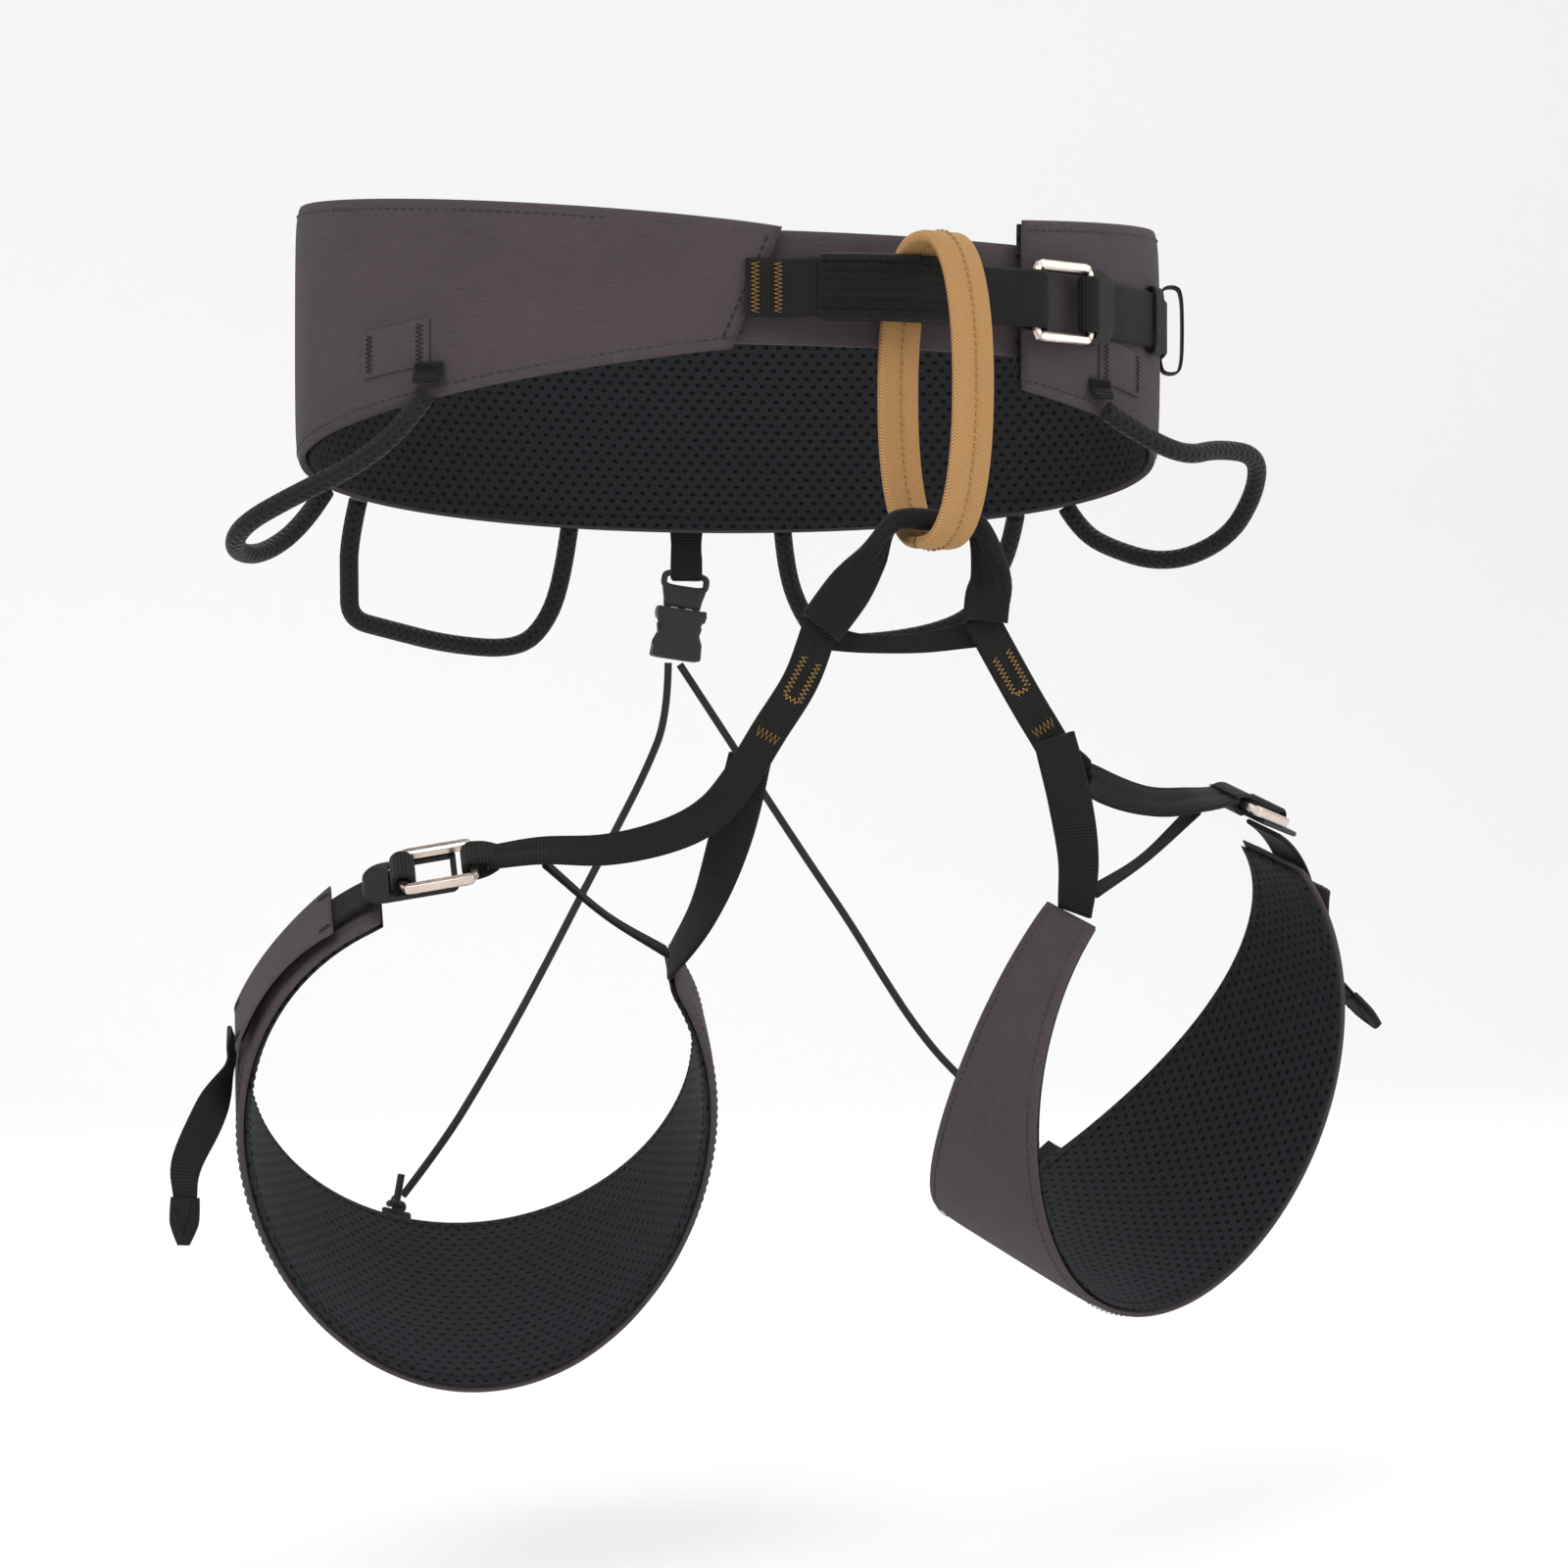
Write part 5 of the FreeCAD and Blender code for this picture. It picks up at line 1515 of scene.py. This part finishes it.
class HARNESS_OT_gear_loops(bpy.types.Operator):
    """Four gear loops in a braided sheath, with the sewn tabs that hold them"""
    bl_idname = "harness.gear_loops"
    bl_label = "Gear loops"

    def execute(self, context):
        ring, thick = waist_ring(), sizes().gear_loop_thick / MM
        tabs = []
        for label, (first, last, shape) in GEAR_LOOPS.items():
            side = -1 if label.startswith("right") else 1
            shifts = [(share, (out * side, back, up)) for share, (out, back, up) in shape]
            path = blend_path(between(gear_end(first), gear_end(last), shifts), 1.6)
            tube(
                f"{label}_sheath", path, thick / 2, finish("sheath"), label,
                (label,), 20)
            for angle in (first, last):
                tabs.append((label, angle))
        lift = sizes().belt_thick / MM + CLEAR
        for number, (label, angle) in enumerate(tabs):
            start = gear_end(angle)
            normal, tangent = ring_normal(ring, angle), ring_tangent(ring, angle)
            foot = ring_point(ring, angle, lift + 1.2, start.z + thick / 2 + 0.6)
            replaced = ("gear_loop_anchors",) if number == 0 else ()
            strap(
                f"loop_tab_{number}", [
                    (foot + normal * 1.6, tangent, 10.5),
                    (foot + normal * 1.3 + UP * 1.4, tangent, 11.0),
                    (foot + normal * 0.2 + UP * 3.6, tangent, 11.0),
                    (foot + UP * 7.0, tangent, 10.5)],
                2.0, finish("webbing"), "root", replaced, step=0.8)
            tack = zigzag(foot + UP * 5.0 + normal * 0.9, tangent, UP, 9.0, 2.2, 0.7, normal, 0.25)
            threads(
                f"loop_tack_{number}", [tack], 0.28, finish("black_thread"), "root")
        return {"FINISHED"}


# ------------------------------------------------------------------ rear riser


def smooth_block(name, matrix, rows, material, body, replaced=(), power=4.0, sides=28):
    """A moulded block lofted through rows of height, half width, half depth and offset."""
    points = []
    for height, half_wide, half_deep, offset in rows:
        for k in range(sides):
            turn = 2 * pi * k / sides
            c, s = cos(turn), sin(turn)
            x = half_wide * squared(c, 2 / power) + offset
            y = half_deep * squared(s, 2 / power)
            points.append(matrix @ V((x, y, height)))
    faces = grid_faces(len(rows), sides)
    piece = make_piece(name, points, faces, material, body, replaced)
    soften(piece, 0.00035, 3, 40)
    return piece


RING_BAR = -1.1
RISER_WRAP = 2.0


class HARNESS_OT_rear_buckle(bpy.types.Operator):
    """Riser strap and the small side-release buckle at the back"""
    bl_idname = "harness.rear_buckle"
    bl_label = "Rear buckle"

    def execute(self, context):
        joint = JOINTS["rear_buckle_slide"]
        axis = V(joint["axis"])
        origin = V(joint["pos_m"]) / MM
        matrix = axes_matrix(origin, V((axis.z, 0, -axis.x)), axis)
        plastic = finish("plastic")
        low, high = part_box("riser_strap")
        y = (low.y + high.y) / 2 / MM
        wide = (high.x - low.x) / MM
        top, bottom = high.z / MM, low.z / MM
        side = V((1, 0, 0))
        bar = matrix @ V((0, 0, RING_BAR))
        riser = strap(
            "riser_web", [
                (V((0, y, top)), side, wide), (V((0, y + 0.3, top - 4)), side, wide),
                (V((0, y + 1.0, top - 9)), side, wide - 0.8),
                (V((0, y + 0.2, top - 13)), side, wide - 1.2),
                (V((0, y - 0.6, bottom + 3)), side, wide - 1)] + [
                (bar + V((0, -RISER_WRAP * cos(turn), -RISER_WRAP * sin(turn))), side, wide - 1.2)
                for turn in (0, pi / 4, pi / 2, 3 * pi / 4, pi)] + [
                (V((0, y + 2.2, bottom + 4)), side, wide - 1.2),
                (V((0, y + 1.9, bottom + 9)), side, wide - 1.4)],
            1.3, finish("webbing"), None, ("riser_strap",))
        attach(riser, "root")
        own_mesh(riser)

        ring = []
        for k in range(40):
            turn = 2 * pi * k / 40
            c, s = cos(turn), sin(turn)
            x = 8.3 * squared(c, 0.5)
            z = RING_BAR - 2.9 + 2.9 * squared(s, 0.5)
            ring.append(matrix @ V((x, 0, z)))
        tube(
            "male_ring", ring, 1.25, plastic, "rear_buckle",
            ("rear_buckle_male",), 12, True)
        smooth_block("male_neck", matrix, [
            (-6.4, 8.6, 2.1, 0), (-8.0, 8.4, 2.3, 0), (-11.0, 7.6, 2.3, 0), (-14.2, 7.2, 2.0, 0)],
            plastic, "rear_buckle")
        for label, sign in (("male_prong_left", 1), ("male_prong_right", -1)):
            smooth_block(label, matrix, [
                (-13.6, 1.3, 1.7, sign * 5.6), (-18.0, 1.3, 1.7, sign * 6.0),
                (-21.5, 1.7, 1.7, sign * 7.2), (-24.5, 1.6, 1.7, sign * 6.6),
                (-28.0, 0.9, 1.4, sign * 5.2)],
                plastic, "rear_buckle")
        smooth_block("male_guide", matrix, [
            (-13.6, 1.3, 1.6, 0), (-20.0, 1.2, 1.5, 0), (-24.5, 0.8, 1.2, 0)],
            plastic, "rear_buckle")

        top_z, low_z = -14.4, -34.4
        for label, sign in (("front", -1), ("back", 1)):
            replaced = ("rear_buckle_socket",) if sign < 0 else ()
            cheek = matrix @ Matrix.Translation(V((0, sign * 3.0, 0)))
            smooth_block(f"socket_{label}", cheek, [
                (top_z - 0.3, 8.8, 0.9, 0), (top_z - 2.5, 9.4, 1.0, 0), (top_z - 8.5, 7.2, 1.1, 0),
                (top_z - 13.5, 9.3, 1.0, 0), (low_z + 1.0, 9.6, 1.0, 0), (low_z + 0.2, 9.0, 0.8, 0)],
                plastic, "root", replaced)
        smooth_block("socket_floor", matrix, [
            (low_z + 5.0, 9.3, 3.4, 0), (low_z + 3.0, 9.6, 3.9, 0), (low_z + 0.6, 9.2, 3.7, 0),
            (low_z, 8.0, 3.0, 0)], plastic, "root")
        for label, sign in (("left", 1), ("right", -1)):
            smooth_block(f"socket_rim_{label}", matrix, [
                (top_z - 0.2, 1.0, 3.6, sign * 8.6), (top_z - 2.4, 1.0, 3.8, sign * 8.9),
                (top_z - 4.8, 0.8, 3.4, sign * 8.6)], plastic, "root")
        return {"FINISHED"}


CORD_Y = 91.9


def cord_start(side):
    """Where a leg's hinge axis passes under the rear buckle, so its cord keeps its length."""
    joint = JOINTS[f"{side}_leg_swing"]
    place, axis = V(joint["pos_m"]) / MM, V(joint["axis"])
    return place + axis * ((CORD_Y - place.y) / axis.y)


def knot_path(centre, axis, radius, thick):
    """A small overhand knot drawn up tight."""
    turn = axis.to_track_quat("Z", "Y").to_matrix()
    path = []
    for k in range(72):
        t = 2 * pi * k / 72
        spot = V((sin(t) + 2 * sin(2 * t), cos(t) - 2 * cos(2 * t), -sin(3 * t) * 1.1)) / 3
        path.append(centre + turn @ (spot * (radius - thick / 2)))
    return path


class HARNESS_OT_riser_cords(bpy.types.Operator):
    """Elastic riser cords from the rear buckle to the leg loops, each with its knot"""
    bl_idname = "harness.riser_cords"
    bl_label = "Riser cords"

    def execute(self, context):
        thick = sizes().riser_cord_thick
        for side, leg in LEGS.items():
            tab = ring_matrix(leg, leg["tab"], PAD_CLOTH + CLEAR + 0.9, pad_half(leg["tab"]))
            above = TAB_REACH + KNOT_RADIUS + CLEAR
            knot = tab @ V((0, -leg["inner"] * above, 0))
            start = cord_start(side)
            last = leg["cord"][-1]
            end = knot + (last - knot).normalized() * (KNOT_RADIUS + CLEAR / 2)
            curve = bpy.data.curves.new(f"{side}_elastic", "CURVE")
            curve.dimensions = "3D"
            spline = curve.splines.new("NURBS")
            points = [start, *leg["cord"], end]
            spline.points.add(len(points) - 1)
            for target, point in zip(spline.points, points):
                target.co = (*(point * MM), 1)
            spline.order_u = 3
            spline.use_endpoint_u = True
            spline.resolution_u = 12
            curve.bevel_depth = thick / 2
            curve.bevel_resolution = 4
            curve.use_fill_caps = True
            curve.materials.append(finish("cord"))
            cord = bpy.data.objects.new(f"{side}_elastic", curve)
            context.scene.collection.objects.link(cord)
            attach(cord, f"{side}_leg")
            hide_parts(f"{side}_riser_cord")
            way = (last - knot).normalized()
            tied = tube(f"{side}_knot", knot_path(knot, way, KNOT_RADIUS, 2.6), 1.3, finish("cord"),
                        f"{side}_leg", (f"{side}_riser_knot",), 10, True)
            loose = [knot, knot + V((leg["inner"] * 1.2, 2.2, 5.0)),
                     knot + V((leg["inner"] * 2.4, 3.2, 11.0))]
            ends = tube(f"{side}_knot_end", through(loose, lambda i: 8), 1.4, finish("cord"),
                        f"{side}_leg", (), 12)
        return {"FINISHED"}


# ------------------------------------------------------------------ stage


class HARNESS_OT_stage(bpy.types.Operator):
    """Pale floor and sweep, soft lights and the camera"""
    bl_idname = "harness.stage"
    bl_label = "Stage"

    def execute(self, context):
        scene = context.scene
        data = bpy.data.cameras.new("camera")
        data.lens = 82.4
        data.sensor_width = 36.0
        data.clip_end = 50.0
        camera = bpy.data.objects.new("camera", data)
        scene.collection.objects.link(camera)
        camera.location = (-0.264, -1.273, -0.167)
        look = V((sin(radians(12.5)), cos(radians(12.5)), 0.0))
        camera.rotation_euler = look.to_track_quat("-Z", "Y").to_euler()
        scene.camera = camera

        paint = bpy.data.materials.new("stage_paint")
        paint.use_nodes = True
        shader = paint.node_tree.nodes["Principled BSDF"]
        shader.inputs["Base Color"].default_value = (0.93, 0.93, 0.93, 1)
        shader.inputs["Roughness"].default_value = 0.9
        floor_z, half, bend, rise = -0.46, 6.0, 1.2, 6.0
        profile = [(-half, floor_z)]
        for k in range(17):
            turn = pi / 2 * k / 16
            profile.append((2.0 + bend * sin(turn), floor_z + bend * (1 - cos(turn))))
        profile.append((2.0 + bend, floor_z + rise))
        points, faces = [], []
        for y, z in profile:
            points += [(-half, y, z), (half, y, z)]
        for i in range(len(profile) - 1):
            faces.append((2 * i, 2 * i + 1, 2 * i + 3, 2 * i + 2))
        mesh = bpy.data.meshes.new("floor")
        mesh.from_pydata(points, [], faces)
        mesh.shade_smooth()
        mesh.materials.append(paint)
        floor = bpy.data.objects.new("floor", mesh)
        scene.collection.objects.link(floor)

        world = bpy.data.worlds.new("studio")
        world.use_nodes = True
        background = world.node_tree.nodes["Background"]
        background.inputs["Color"].default_value = (1, 1, 1, 1)
        background.inputs["Strength"].default_value = 0.82
        scene.world = world
        scene.view_settings.view_transform = "Standard"
        lamps = (
            ("key", (-1.3, -1.9, 1.5), 1.6, 27.0),
            ("fill", (1.9, -1.5, 0.5), 1.8, 14.0),
            ("rim", (0.5, 1.3, 1.7), 1.4, 12.0),
        )
        for name, spot, reach, power in lamps:
            lamp = bpy.data.lights.new(name, "AREA")
            lamp.size = reach
            lamp.energy = power
            light = bpy.data.objects.new(name, lamp)
            scene.collection.objects.link(light)
            light.location = spot
            aim = V((0.0, 0.0, -0.17)) - V(spot)
            light.rotation_euler = aim.to_track_quat("-Z", "Y").to_euler()
        return {"FINISHED"}


# ------------------------------------------------------------------ add-on

OPERATORS = (
    HARNESS_OT_stage,
    HARNESS_OT_riser_cords,
    HARNESS_OT_belt,
    HARNESS_OT_hip_patches,
    HARNESS_OT_waist_webbing,
    HARNESS_OT_buckles,
    HARNESS_OT_belay_loop,
    HARNESS_OT_leg_bridge,
    HARNESS_OT_leg_pads,
    HARNESS_OT_leg_straps,
    HARNESS_OT_leg_adjusters,
    HARNESS_OT_gear_loops,
    HARNESS_OT_rear_buckle,
)


class HARNESS_PT_panel(bpy.types.Panel):
    """Lists the sizes, the colours and every part of the harness"""
    bl_idname = "HARNESS_PT_panel"
    bl_label = "Climbing harness"
    bl_space_type = "VIEW_3D"
    bl_region_type = "UI"
    bl_category = "Harness"

    def draw(self, context):
        layout = self.layout
        for group in (sizes(), colours()):
            box = layout.box()
            for key in group.bl_rna.properties.keys():
                if key not in ("rna_type", "name"):
                    box.prop(group, key)
        for operator in OPERATORS:
            layout.operator(operator.bl_idname)


CLASSES = (HarnessSizes, HarnessColours, *OPERATORS, HARNESS_PT_panel)


def register():
    for cls in CLASSES:
        bpy.utils.register_class(cls)
    bpy.types.Scene.harness_sizes = bpy.props.PointerProperty(type=HarnessSizes)
    bpy.types.Scene.harness_colours = bpy.props.PointerProperty(type=HarnessColours)


def unregister():
    del bpy.types.Scene.harness_colours
    del bpy.types.Scene.harness_sizes
    for cls in reversed(CLASSES):
        bpy.utils.unregister_class(cls)


def main():
    register()
    for operator in OPERATORS:
        group, name = operator.bl_idname.split(".")
        getattr(getattr(bpy.ops, group), name)()
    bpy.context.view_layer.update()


if __name__ == "__main__":
    main()
